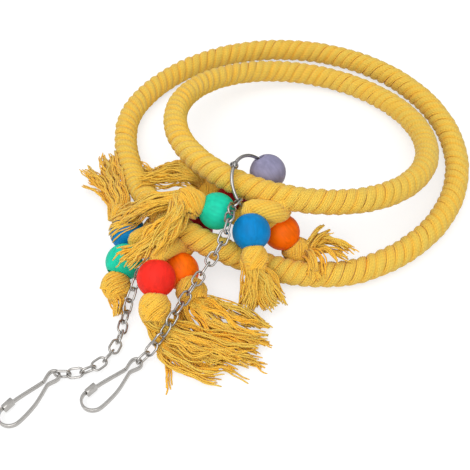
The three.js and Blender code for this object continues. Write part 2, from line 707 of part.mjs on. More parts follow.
// A bead's outline with clearance, without its bore and with its facets all outside the clearance
function grownBead(middle, axis) {
  const half = BEAD_HALF + RUNNING_GAP;
  const reach = (BEAD_RADIUS + CLEARANCE) / Math.cos(Math.PI / BEAD_SIDES) ** 2;
  const steep = Math.asin(half / reach);
  const profile = Array.from({ length: BEAD_STOPS }, (_, i) => {
    const turn = steep * (2 * i / (BEAD_STOPS - 1) - 1);
    return new THREE.Vector2(reach * Math.cos(turn), reach * Math.sin(turn));
  });
  const outline = [new THREE.Vector2(0, -half), ...profile, new THREE.Vector2(0, half)];
  const turn = new THREE.Quaternion().setFromUnitVectors(vec(0, 1, 0), axis);
  return new THREE.LatheGeometry(outline, BEAD_SIDES).applyQuaternion(turn).translate(...middle.toArray());
}

function grownChain(ends, room, rise = 0) {
  const reach = (LINK_WIDTH / 2 + room) / Math.cos(Math.PI / WIRE_SIDES);
  return cord(ends, reach, { sides: WIRE_SIDES, steps: ends.length }).translate(0, 0, rise);
}

function grownBinder(plan) {
  const thick = BINDER_WIRE / 2 + BINDER_ROOM;
  const rows = plan.points.filter((_, i) => i % 4 === 0).map((point) => {
    const out = point.clone().sub(plan.centre).normalize();
    return section({ point, out, up: plan.normal }, thick, thick, WIRE_SIDES);
  });
  const reach = 2 * KNUCKLE_RADIUS + CLEARANCE;
  return [skin(rows, true), ball(plan.at(plan.hingeTurn), plan.normal, reach, reach)];
}

function rootOf(curve, ringRadius, [away, drop]) {
  const frame = frameAt(curve, atDistance(away, ringRadius));
  const way = frame.out.clone().multiplyScalar(Math.cos(degToRad(drop)));
  way.addScaledVector(frame.up, -Math.sin(degToRad(drop)));
  const start = along(frame.point, way, BORE_RADIUS / Math.cos(Math.PI / BORE_SIDES) + CLEARANCE);
  const exit = along(frame.point, way, ROPE_REACH + CLEARANCE + HITCH_STAND);
  return { way, middle: frame.point, start, exit };
}

function wrapOf(name, curve, steps, roots) {
  const outer = solidOf(ringSkin(curve, steps, ROPE_RADIUS, ROPE_SIDES));
  const bore = solidOf(ringSkin(curve, steps, BORE_RADIUS, BORE_SIDES));
  const holes = roots.map((root) => {
    const points = [0, 1, 2].map((share) => along(root.middle, root.way, share * ROPE_RADIUS));
    return solidOf(cord(points, TAIL_RADIUS / Math.cos(Math.PI / CORD_SIDES) + CLEARANCE));
  });
  const whole = holes.reduce((solid, hole) => solid.subtract(hole), outer.subtract(bore));
  return pieceOf(`${name}_wrap`, geometryOf(whole), COTTON);
}

function coreOf(name, curve, steps) {
  return pieceOf(`${name}_core`, ringSkin(curve, steps, BORE_RADIUS - RUNNING_GAP, BORE_SIDES), CORE);
}

// The soft pieces of one root's tails, all thicker by a margin
function softPieces(root, legs, margin = 0) {
  const pieces = [ball(root.exit, root.way, HITCH_RADIUS + margin, HITCH_RADIUS + margin)];
  for (const { tail, bends, tassels } of legs) {
    const before = along(tail.entry, tail.axis, -LEG_STRAIGHT);
    const inside = along(tail.entry, tail.axis, RUN_PAST_BEAD);
    const path = [root.exit, ...bends.map((point) => vec(...point)), before, inside];
    const knotHalf = KNOT_LENGTH / 2 + KNOT_OVERLAP + margin;
    pieces.push(cord(path, TAIL_RADIUS, { steps: LEG_STEPS, margin }));
    pieces.push(ball(tail.knot, tail.axis, KNOT_RADIUS + margin, knotHalf));
    for (const lock of tassels) {
      const { thick, flat, grow } = lock;
      const shape = { sides: LOCK_SIDES, steps: LOCK_STEPS, flat, grow, margin };
      pieces.push(cord(lockPoints(tail, lock), thick, shape));
    }
  }
  return pieces;
}

// Straight runs of rope, thicker by a margin: out of the wrap, and through each bead
function straightRuns(root, legs, margin = 0) {
  const half = BEAD_HALF + RUN_PAST_BEAD;
  const runs = legs.map(({ tail }) => [-half, 0, half].map((reach) => along(tail.middle, tail.axis, reach)));
  runs.push([root.start, root.exit, along(root.exit, root.way, HITCH_STAND)]);
  return runs.map((points) => cord(points, TAIL_RADIUS, { margin }));
}

function tailsOf(name, root, legs, barriers) {
  const cut = barriers.reduce((solid, barrier) => solid.subtract(barrier), join(softPieces(root, legs)));
  const whole = straightRuns(root, legs).map(solidOf).reduce((solid, run) => solid.add(run), cut);
  return pieceOf(name, tidied(whole), COTTON);
}

const largeRoots = {
  left: rootOf(largeRing, LARGE_RADIUS, LARGE_LEFT_ROOT),
  right: rootOf(largeRing, LARGE_RADIUS, LARGE_RIGHT_ROOT),
};
const smallRoots = {
  left: rootOf(smallRing, SMALL_RADIUS, SMALL_LEFT_ROOT),
  right: rootOf(smallRing, SMALL_RADIUS, SMALL_RIGHT_ROOT),
};
const largeEnds = chainEnds(largeBinder, LARGE_ROUTE, LARGE_LINKS);
const smallEnds = chainEnds(smallBinder, SMALL_ROUTE, SMALL_LINKS);

const barriers = [
  ringSkin(largeRing, LARGE_STEPS, ROPE_RADIUS + CLEARANCE, ROPE_SIDES),
  ringSkin(smallRing, SMALL_STEPS, ROPE_RADIUS + CLEARANCE, ROPE_SIDES),
  ...Object.values(TAILS).map((tail) => grownBead(tail.middle, tail.axis)),
  ...[largeBinder, smallBinder].map((plan) => grownBead(plan.bead, plan.tangentAt(plan.beadTurn))),
  ...[largeBinder, smallBinder].flatMap(grownBinder),
  grownChain(largeEnds, CLEARANCE),
  grownChain(smallEnds, CLEARANCE),
  new THREE.BoxGeometry(FLOOR_SIZE, FLOOR_SIZE, FLOOR_DEPTH).translate(0, 0, -FLOOR_DEPTH / 2),
].map(solidOf);

const grownRuns = (root, legs) => straightRuns(root, legs, CLEARANCE).map(solidOf);
const grownTails = (root, legs) => [
  ...softPieces(root, legs, CLEARANCE).map(solidOf),
  ...grownRuns(root, legs),
];
const aroundLargeLeft = grownTails(largeRoots.left, largeLeft);
const aroundLarge = [...aroundLargeLeft, ...grownTails(largeRoots.right, largeRight)];
const aroundSmallRight = grownTails(smallRoots.right, smallRight);

const overChains = [largeEnds, smallEnds].flatMap((ends) => [0, 1, 2].map((copy) => (
  solidOf(grownChain(ends, CHAIN_ROOM, copy * LINK_WIDTH))
)));

const largeChain = chainOf('large', largeBinder, largeEnds);
const smallChain = chainOf('small', smallBinder, smallEnds);
const rings = new THREE.Group();
rings.add(
  wrapOf('large', largeRing, LARGE_STEPS, Object.values(largeRoots)),
  coreOf('large', largeRing, LARGE_STEPS),
  tailsOf('large_left_tails', largeRoots.left, largeLeft, [
    ...barriers, ...overChains, ...grownRuns(largeRoots.right, largeRight),
  ]),
  tailsOf('large_right_tails', largeRoots.right, largeRight, [
    ...barriers, ...overChains, ...aroundLargeLeft,
  ]),
  wrapOf('small', smallRing, SMALL_STEPS, Object.values(smallRoots)),
  coreOf('small', smallRing, SMALL_STEPS),
  tailsOf('small_left_tails', smallRoots.left, smallLeft, [
    ...barriers, ...aroundLarge, ...aroundSmallRight,
  ]),
  tailsOf('small_right_tails', smallRoots.right, smallRight, [
    ...barriers, ...aroundLarge, ...grownRuns(smallRoots.left, smallLeft),
  ]),
  binderOf('large', largeBinder),
  binderOf('small', smallBinder),
  ringBeadOf('large', WOODS.maroon, largeBinder),
  ringBeadOf('small', WOODS.purple, smallBinder),
  ...largeChain.links,
  ...smallChain.links,
  hookOf('large', largeChain, LARGE_HOOK_HEADING),
  hookOf('small', smallChain, SMALL_HOOK_HEADING),
);
for (const [name, tail] of Object.entries(TAILS)) {
  const [ring, stain] = name.split('_');
  rings.add(beadOf(`${ring}_bead_${stain}`, WOODS[stain], BEAD_BORE, tail.middle, tail.axis));
}

// The frame's origin is the middle of the object's own box, on the floor
const box = new THREE.Box3().setFromObject(rings, true);
const middle = box.getCenter(vec());
rings.position.set(-middle.x, -middle.y, -box.min.z);

export default new THREE.Group().add(rings);
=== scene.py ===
"""Looks of the bird rope rings: wound cotton ropes, beaded tassels, wire rings, chains and snap hooks.

Lengths are millimetres with the large ring's tie at the origin, as the rings were laid out. A finished piece
is put into the frame, in metres, by one function at the end of its making.
"""

import json
import logging
import math
from collections.abc import Callable
from dataclasses import dataclass
from enum import Enum

import bpy
import numpy as np
from mathutils import Matrix, Vector

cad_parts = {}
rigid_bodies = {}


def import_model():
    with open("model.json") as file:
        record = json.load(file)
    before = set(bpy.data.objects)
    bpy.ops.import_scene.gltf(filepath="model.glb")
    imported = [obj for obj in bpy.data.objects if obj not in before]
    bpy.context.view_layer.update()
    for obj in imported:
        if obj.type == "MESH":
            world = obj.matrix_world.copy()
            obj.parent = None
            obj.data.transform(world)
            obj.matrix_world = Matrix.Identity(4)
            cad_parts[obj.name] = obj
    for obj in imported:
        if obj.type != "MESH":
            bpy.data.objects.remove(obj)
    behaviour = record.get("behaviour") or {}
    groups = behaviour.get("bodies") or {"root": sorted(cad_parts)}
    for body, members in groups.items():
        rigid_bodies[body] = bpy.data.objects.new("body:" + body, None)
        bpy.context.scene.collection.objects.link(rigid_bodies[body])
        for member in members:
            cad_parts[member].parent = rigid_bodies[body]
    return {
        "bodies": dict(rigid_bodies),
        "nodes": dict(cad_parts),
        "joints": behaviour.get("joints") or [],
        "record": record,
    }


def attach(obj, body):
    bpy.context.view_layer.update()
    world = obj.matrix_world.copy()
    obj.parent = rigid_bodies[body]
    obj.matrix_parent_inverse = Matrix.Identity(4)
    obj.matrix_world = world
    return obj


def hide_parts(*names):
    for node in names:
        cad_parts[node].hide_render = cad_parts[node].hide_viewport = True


Point = tuple[float, float, float]
Piece = bpy.types.Object
Tree = bpy.types.NodeTree
Socket = bpy.types.NodeSocket

LOG = logging.getLogger("rope_rings")
MM = 0.001
TIE = np.array([0.0, -44.68, 0.0])
UP = np.array([0.0, 0.0, 1.0])
ALONG_X = np.array([1.0, 0.0, 0.0])
NEARLY_ALONG = 0.95
TINY = 1e-6
SPECK = 1e-9
SPLINE_STEPS = 24
TANGENT_STEP = 1e-4
SMOOTH_ANGLE = 35.0
BOTH_WAYS = (1, -1)

# Sizes of the solids that the pieces stand for
ROPE_RADIUS = 7.5
ROPE_SIDES = 10
ROPE_REACH = ROPE_RADIUS / math.cos(math.pi / ROPE_SIDES)
CLEARANCE = 0.4
GAP = 0.3
BEAD_RADIUS = 10.5
TAIL_RADIUS = 4.2
TAIL_SIDES = 8
TAIL_BORE = TAIL_RADIUS / math.cos(math.pi / TAIL_SIDES) + GAP
WIRE_BORE = 3.1
BEAD_HALF = math.sqrt(BEAD_RADIUS**2 - TAIL_BORE**2)
KNOT_LENGTH = 13.0
HITCH_STAND = 1.0
LEG_STRAIGHT = 3.0
LINK_PITCH = 6.6
LINK_WIRE = 1.3
LINK_WIDTH = 6.6
BINDER_RADIUS = 17.0
BINDER_WIRE = 2.0

# How far a knot's yarns reach, a little fuller than its solid
KNOT_RADIUS = 9.2

# Scale of a wave texture at which a diagonal band is one unit wide
ONE_BAND = 2 * math.pi / 10


class Cap(Enum):
    """How the ends of a yarn are finished."""

    CUT = "cut"
    LOOP = "loop"


def unit(vectors: np.ndarray) -> np.ndarray:
    """Vectors scaled to length one, along the last axis."""
    return vectors / np.linalg.norm(vectors, axis=-1, keepdims=True)


def eased(share: np.ndarray) -> np.ndarray:
    """Shares kept between 0 and 1, and made to start and stop gently."""
    share = np.clip(share, 0, 1)
    return share * share * (3 - 2 * share)


def spread(index: int, count: int) -> float:
    """Where one of several things that lie side by side is, between -1 and 1."""
    return (index - (count - 1) / 2) / (count / 2)


def around(turn: np.ndarray, first: np.ndarray, second: np.ndarray) -> np.ndarray:
    """Directions at angles from a first direction towards a second, one for each point."""
    return np.cos(turn)[:, None] * first + np.sin(turn)[:, None] * second


def run_along(points: np.ndarray) -> np.ndarray:
    """Distances from the first of a line of points to each of them."""
    return np.concatenate([[0.0], np.cumsum(np.linalg.norm(np.diff(points, axis=0), axis=1))])


def uneven(rng: np.random.Generator, shade: float | np.ndarray, amount: float = 0.1) -> np.ndarray:
    """A yarn's shade, made a little lighter or deeper at random."""
    return np.clip(shade + amount * rng.standard_normal(), 0, 1)


def linear(code: str) -> tuple[float, float, float, float]:
    """Turns an sRGB hex code into linear colour.

    Args:
        code: six hex digits after a hash.

    Returns:
        Red, green, blue and an alpha of one.
    """
    parts = [int(code[i : i + 2], 16) / 255 for i in (1, 3, 5)]
    low = [p / 12.92 if p <= 0.04045 else ((p + 0.055) / 1.055) ** 2.4 for p in parts]
    return (*low, 1.0)


def add_node(
    tree: Tree, kind: str, settings: dict[str, object] | None = None, **inputs: object
) -> bpy.types.Node:
    """Adds one shader node.

    Args:
        tree: the node tree to add to.
        kind: the node's type name.
        settings: attributes of the node itself.
        inputs: input sockets by name, with spaces as underscores, or by an underscore and their number; a
            socket is linked and a value is set.

    Returns:
        The new node.
    """
    node = tree.nodes.new(kind)
    for name, value in (settings or {}).items():
        setattr(node, name, value)
    for name, value in inputs.items():
        index = int(name[1:]) if name[0] == "_" else name.replace("_", " ")
        if isinstance(value, Socket):
            tree.links.new(value, node.inputs[index])
        else:
            node.inputs[index].default_value = value
    return node


def noise(tree: Tree, place: Socket, scale: float, detail: float) -> Socket:
    """Adds a soft random pattern.

    Args:
        tree: the node tree to add to.
        place: the coordinates that it is laid over.
        scale: how many patches there are to one unit of them.
        detail: how many finer patterns lie on it.

    Returns:
        Its value.
    """
    return add_node(tree, "ShaderNodeTexNoise", Vector=place, Scale=scale, Detail=detail).outputs["Fac"]


def figure(tree: Tree, operation: str, *values: Socket | float, clamp: bool = False) -> Socket:
    """Adds one sum.

    Args:
        tree: the node tree to add to.
        operation: what is done with the values.
        values: two or three sockets or numbers.
        clamp: whether the result is kept between 0 and 1.

    Returns:
        The result.
    """
    inputs = {f"_{i}": value for i, value in enumerate(values)}
    return add_node(tree, "ShaderNodeMath", {"operation": operation, "use_clamp": clamp}, **inputs).outputs[0]


def remap(tree: Tree, value: Socket, old: tuple[float, float], new: tuple[float, float]) -> Socket:
    """Adds a change of range.

    Args:
        tree: the node tree to add to.
        value: what is changed.
        old: the range that it comes from.
        new: the range that it goes to.

    Returns:
        The value in the new range.
    """
    inputs = {f"_{i}": end for i, end in enumerate((*old, *new), start=1)}
    return add_node(tree, "ShaderNodeMapRange", Value=value, **inputs).outputs[0]


def mixed(tree: Tree, share: Socket | float, first: object, last: object, blend: str = "MIX") -> Socket:
    """Adds a mix of two colours.

    Args:
        tree: the node tree to add to.
        share: how much of the last colour there is.
        first: the first colour.
        last: the last colour, or what the first one is multiplied by.
        blend: how they are mixed.

    Returns:
        The mixed colour.
    """
    settings = {"data_type": "RGBA", "blend_type": blend}
    return add_node(tree, "ShaderNodeMix", settings, _0=share, _6=first, _7=last).outputs[2]


def blank_material(name: str) -> tuple[bpy.types.Material, Tree, bpy.types.Node]:
    """A new material with only its output node.

    Args:
        name: the material's name.

    Returns:
        The material, its tree and the output node.
    """
    material = bpy.data.materials.new(name)
    material.use_nodes = True
    tree = material.node_tree
    tree.nodes.clear()
    return material, tree, tree.nodes.new("ShaderNodeOutputMaterial")


@dataclass(frozen=True)
class DyedCotton:
    """Spun cotton yarn, dyed golden: a matt, slightly furry thread whose plies show as slanting lines, in
    relief and in painted shade and light.
    """

    name: str = "dyed_cotton_yarn"
    slot: str = "cotton"
    light: str = "#E2C052"
    deep: str = "#F8B01A"
    roughness: float = 0.92
    specular: float = 0.2
    sheen: float = 0.2
    sheen_roughness: float = 0.5
    ply_mm: float = 1.8
    ply_painted_shade: float = 0.1
    fibre_mm: float = 0.7
    blotch_mm: float = 14.0
    blotch_contrast: float = 0.5
    relief: float = 0.5
    relief_mm: float = 0.15

    def material(self) -> bpy.types.Material:
        """Builds the yarn's material.

        Returns:
            A material that reads the yarn's shade, its uneven tone and painted shade, and its UV map, in ply
            turns.
        """
        material, tree, output = blank_material(self.name)
        shade = add_node(tree, "ShaderNodeAttribute", {"attribute_name": "shade"}).outputs["Fac"]
        uv = add_node(tree, "ShaderNodeUVMap", {"uv_map": "yarn"}).outputs["UV"]
        place = add_node(tree, "ShaderNodeTexCoord").outputs["Object"]
        slanting = {"wave_type": "BANDS", "bands_direction": "DIAGONAL"}
        ply = add_node(tree, "ShaderNodeTexWave", slanting, Vector=uv, Scale=ONE_BAND).outputs["Fac"]
        blotch = noise(tree, place, 1 / (self.blotch_mm * MM), 2.0)
        fibre = noise(tree, place, 1 / (self.fibre_mm * MM), 3.0)
        tone = figure(tree, "MULTIPLY_ADD", blotch, self.blotch_contrast, -self.blotch_contrast / 2)
        share = figure(tree, "ADD", shade, tone, clamp=True)
        # The shade attribute mixes towards the deep colour: the yarns' uneven tone, and painted shade in the
        # rope's grooves, its core and the tassels.
        base = mixed(tree, share, linear(self.deep), linear(self.light))
        # Painted shade and light: the colour is made darker and lighter in slanting bands along the ply
        # twist.
        lines = figure(tree, "MULTIPLY_ADD", ply, self.ply_painted_shade, 1 - self.ply_painted_shade / 2)
        bump = add_node(
            tree,
            "ShaderNodeBump",
            Strength=self.relief,
            Distance=self.relief_mm * MM,
            Height=figure(tree, "ADD", ply, fibre),
        )
        skin = add_node(
            tree,
            "ShaderNodeBsdfPrincipled",
            Base_Color=mixed(tree, 1.0, base, lines, "MULTIPLY"),
            Roughness=self.roughness,
            Normal=bump.outputs["Normal"],
            Sheen_Weight=self.sheen,
            Sheen_Roughness=self.sheen_roughness,
            Specular_IOR_Level=self.specular,
        )
        tree.links.new(skin.outputs[0], output.inputs["Surface"])
        return material


@dataclass(frozen=True)
class StainedWood:
    """Turned softwood bead, stained through and waxed: even colour, faint streaks of grain, soft gloss."""

    stain: str
    colour: str
    grain_mm: float = 1.6
    streak_mm: float = 14.0
    fleck_mm: float = 6.25
    pattern: tuple[float, float] = (0.75, 1.3)
    tint: tuple[float, float] = (0.84, 1.14)
    grain: tuple[float, float] = (0.3, 0.7)
    roughness: tuple[float, float] = (0.44, 0.58)
    specular: float = 0.14
    relief: float = 0.15
    relief_mm: float = 0.1

    @property
    def slot(self) -> str:
        """The slot name for this stain, under which its material is made once."""
        return f"wood_{self.stain}"

    def material(self) -> bpy.types.Material:
        """Builds the bead's material.

        Returns:
            A material that reads the bead's own places, so that the grain runs along its bore.
        """
        material, tree, output = blank_material(f"stained_wood_{self.stain}")
        place = add_node(tree, "ShaderNodeAttribute", {"attribute_name": "turned"}).outputs["Vector"]
        stretch = (1 / self.grain_mm, 1 / self.grain_mm, 1 / self.streak_mm)
        stretched = add_node(tree, "ShaderNodeMapping", Vector=place, Scale=stretch).outputs[0]
        grain = noise(tree, stretched, 1.0, 3.0)
        fleck = noise(tree, place, 1 / self.fleck_mm, 2.0)
        tint = remap(tree, figure(tree, "ADD", grain, fleck), self.pattern, self.tint)
        bump = add_node(
            tree, "ShaderNodeBump", Strength=self.relief, Distance=self.relief_mm * MM, Height=grain
        )
        skin = add_node(
            tree,
            "ShaderNodeBsdfPrincipled",
            Base_Color=mixed(tree, 1.0, linear(self.colour), tint, "MULTIPLY"),
            Roughness=remap(tree, grain, self.grain, self.roughness),
            Normal=bump.outputs["Normal"],
            Specular_IOR_Level=self.specular,
        )
        tree.links.new(skin.outputs[0], output.inputs["Surface"])
        return material


@dataclass(frozen=True)
class NickelPlate:
    """Nickel plated steel wire, drawn and tumbled: bright, a little warm, with small rubbed patches."""

    name: str = "nickel_plated_steel"
    slot: str = "nickel"
    colour: str = "#B6B3AF"
    patch_mm: float = 2.5
    pattern: tuple[float, float] = (0.3, 0.7)
    roughness: tuple[float, float] = (0.08, 0.3)
    tint: tuple[float, float] = (1.0, 0.88)

    def material(self) -> bpy.types.Material:
        """Builds the plating's material.

        Returns:
            A metal whose gloss varies over small patches.
        """
        material, tree, output = blank_material(self.name)
        place = add_node(tree, "ShaderNodeTexCoord").outputs["Object"]
        patch = noise(tree, place, 1 / (self.patch_mm * MM), 3.0)
        tint = remap(tree, patch, self.pattern, self.tint)
        skin = add_node(
            tree,
            "ShaderNodeBsdfPrincipled",
            Base_Color=mixed(tree, 1.0, linear(self.colour), tint, "MULTIPLY"),
            Roughness=remap(tree, patch, self.pattern, self.roughness),
            Metallic=1.0,
        )
        tree.links.new(skin.outputs[0], output.inputs["Surface"])
        return material


class Stain(Enum):
    """The stains of the beads."""

    BLUE = StainedWood("blue", "#0080C2")
    GREEN = StainedWood("green", "#1CC9A4")
    RED = StainedWood("red", "#F02C20")
    ORANGE = StainedWood("orange", "#FF7002")
    # A darker copy of the red stain: painted shade on the two beads that lie in shade.
    MAROON = StainedWood("maroon", "#A3141B")
    PURPLE = StainedWood("purple", "#8E8BA8")


class Paints:
    """Makes each finish's material once."""

    def __init__(self) -> None:
        """Starts with no materials."""
        self.made: dict[str, bpy.types.Material] = {}

    def dress(self, piece: Piece, finish: DyedCotton | StainedWood | NickelPlate) -> None:
        """Gives a piece its finish's material, which is made once for each slot.

        Args:
            piece: the object to dress.
            finish: the finish that it takes.
        """
        if finish.slot not in self.made:
            self.made[finish.slot] = finish.material()
        piece.data.materials.clear()
        piece.data.materials.append(self.made[finish.slot])


class Frame:
    """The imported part's joints and nodes, in millimetres from the large ring's tie."""

    def __init__(self, loaded: dict) -> None:
        """Keeps the nodes, and the joints by name.
        """
        self.nodes: dict[str, Piece] = loaded["nodes"]
        self.joints: dict[str, dict] = {joint["name"]: joint for joint in loaded["joints"]}

    def anchor(self, joint: str) -> np.ndarray:
        """Where a joint is."""
        return np.array(self.joints[joint]["pos_m"]) / MM - TIE

    def axis(self, joint: str) -> np.ndarray:
        """The direction of a joint's axis."""
        return unit(np.array(self.joints[joint]["axis"]))

    def corners(self, node: str) -> np.ndarray:
        """The corner points of a node."""
        return np.array([v.co for v in self.nodes[node].data.vertices]) / MM - TIE


def settle(piece: Piece, basis: np.ndarray, origin: np.ndarray) -> None:
    """Puts a piece modelled about the origin, in millimetres, into the frame.

    Args:
        piece: the object, with its shape in its mesh.
        basis: three columns, the directions of its own axes.
        origin: where its origin goes.
    """
    turn = Matrix([list(row) for row in basis]).to_4x4()
    move = Matrix.Translation(Vector(origin + TIE))
    piece.data.transform(Matrix.Scale(MM, 4) @ move @ turn)
    piece.data.update()


def rest_on(piece: Piece, body: str, *nodes: str) -> None:
    """Makes a piece ride on a body and stand for its nodes, and reports it.

    Args:
        piece: the finished object.
        body: the body that it moves with.
        nodes: the solids that it stands for.
    """
    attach(piece, body)
    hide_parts(*nodes)
    LOG.info("%s: %d faces on %s", piece.name, len(piece.data.polygons), body)


def new_object(name: str, mesh: bpy.types.Mesh) -> Piece:
    """Links a mesh into the scene as the one selected object.

    Args:
        name: the object's name.
        mesh: its mesh.

    Returns:
        The active object.
    """
    piece = bpy.data.objects.new(name, mesh)
    bpy.context.scene.collection.objects.link(piece)
    bpy.ops.object.select_all(action="DESELECT")
    piece.select_set(True)
    bpy.context.view_layer.objects.active = piece
    return piece


def added(
    name: str, primitive: Callable[..., set[str]], scale: Point = (1, 1, 1), **settings: object
) -> Piece:
    """Adds a primitive with nothing else selected, and puts its place and size into its mesh.

    Args:
        name: the new object's name.
        primitive: the operator that adds it.
        scale: how it is stretched along its own axes.
        settings: what the operator is told.

    Returns:
        The active object.
    """
    bpy.ops.object.select_all(action="DESELECT")
    primitive(**settings)
    piece = bpy.context.object
    piece.name = name
    piece.scale = scale
    bpy.ops.object.transform_apply(location=True, rotation=True, scale=True)
    return piece


def bevel(piece: Piece, width: float, segments: int, angle: float) -> None:
    """Rounds the sharp edges of a piece.

    Args:
        piece: the object.
        width: how far the rounding reaches.
        segments: how many faces it has.
        angle: edges that turn more than this, in degrees, are sharp.
    """
    modifier = piece.modifiers.new("rounded", "BEVEL")
    modifier.width = width
    modifier.segments = segments
    modifier.limit_method = "ANGLE"
    modifier.angle_limit = math.radians(angle)
    bpy.context.view_layer.objects.active = piece
    bpy.ops.object.modifier_apply(modifier=modifier.name)


def pick_faces(piece: Piece, wanted: Callable[[bpy.types.MeshPolygon], bool]) -> None:
    """Selects the faces that a test picks, and leaves the piece in edit mode.

    Args:
        piece: the active object.
        wanted: says of a face whether it is picked.
    """
    bpy.ops.object.mode_set(mode="EDIT")
    bpy.ops.mesh.select_mode(type="FACE")
    bpy.ops.mesh.select_all(action="DESELECT")
    bpy.ops.object.mode_set(mode="OBJECT")
    for face in piece.data.polygons:
        face.select = wanted(face)
    bpy.ops.object.mode_set(mode="EDIT")


def pull_out(step: object) -> None:
    """Extrudes the faces picked in edit mode by a step."""
    bpy.ops.mesh.extrude_region_move(TRANSFORM_OT_translate={"value": step})


def turned_outwards() -> None:
    """Points all faces of the piece in edit mode outwards, and leaves edit mode."""
    bpy.ops.mesh.select_all(action="SELECT")
    bpy.ops.mesh.normals_make_consistent(inside=False)
    bpy.ops.object.mode_set(mode="OBJECT")


def smooth_but_edges() -> None:
    """Shades the active piece smooth, apart from its sharp edges."""
    bpy.ops.object.shade_smooth_by_angle(angle=math.radians(SMOOTH_ANGLE))


def copy_of(piece: Piece, name: str) -> Piece:
    """Copies a piece.

    Args:
        piece: the object to copy.
        name: the copy's name.

    Returns:
        The copy, with its own mesh.
    """
    mesh = piece.data.copy()
    mesh.name = name
    return new_object(name, mesh)


def join_into(first: Piece, *others: Piece) -> None:
    """Joins other objects into the first one.

    Args:
        first: the object that stays.
        others: the objects that go into it.
    """
    bpy.ops.object.select_all(action="DESELECT")
    for piece in (first, *others):
        piece.select_set(True)
    bpy.context.view_layer.objects.active = first
    bpy.ops.object.join()


def basis_along(axis: np.ndarray) -> np.ndarray:
    """Three columns whose last is an axis.

    Args:
        axis: the direction of the last column.

    Returns:
        A right-handed basis as a matrix.
    """
    beside = ALONG_X if abs(float(np.dot(axis, UP))) > NEARLY_ALONG else UP
    first = unit(beside - axis * float(np.dot(axis, beside)))
    return np.column_stack([first, np.cross(axis, first), axis])


def between(t: np.ndarray, start: float, end: float, first: np.ndarray, last: np.ndarray) -> np.ndarray:
    """Points on the way from a first one, at a start, to a last one, at an end."""
    return (end - t) / (end - start) * first + (t - start) / (end - start) * last


def smooth_path(points: np.ndarray, spacing: float) -> np.ndarray:
    """A smooth line through points.

    Args:
        points: the points, in order.
        spacing: the distance between samples.

    Returns:
        Samples at even distances along the line.
    """
    ends = [2 * points[0] - points[1], *points, 2 * points[-1] - points[-2]]
    fine: list[np.ndarray] = []
    for p0, p1, p2, p3 in zip(ends, ends[1:], ends[2:], ends[3:]):
        pairs = ((p0, p1), (p1, p2), (p2, p3))
        t0, t1, t2, t3 = np.cumsum([0.0, *[math.sqrt(np.linalg.norm(b - a)) + TINY for a, b in pairs]])
        t = np.linspace(t1, t2, SPLINE_STEPS, endpoint=False)[:, None]
        a1 = between(t, t0, t1, p0, p1)
        a2 = between(t, t1, t2, p1, p2)
        a3 = between(t, t2, t3, p2, p3)
        fine.append(between(t, t1, t2, between(t, t0, t2, a1, a2), between(t, t1, t3, a2, a3)))
    line = np.vstack([*fine, points[-1][None, :]])
    lengths = run_along(line)
    count = max(3, int(round(lengths[-1] / spacing)) + 1)
    at = np.linspace(0, lengths[-1], count)
    return np.column_stack([np.interp(at, lengths, line[:, k]) for k in range(3)])


def carried_frames(path: np.ndarray) -> tuple[np.ndarray, np.ndarray]:
    """Frames carried along a path without twist.

    Args:
        path: points of the path.

    Returns:
        Side vectors and up vectors.
    """
    tangent = unit(np.gradient(path, axis=0))
    start = UP if abs(float(np.dot(UP, tangent[0]))) < NEARLY_ALONG else ALONG_X
    sides = [unit(np.cross(tangent[0], start))]
    for way in tangent[1:]:
        sides.append(unit(sides[-1] - way * float(np.dot(sides[-1], way))))
    side = np.array(sides)
    return side, np.cross(side, tangent)


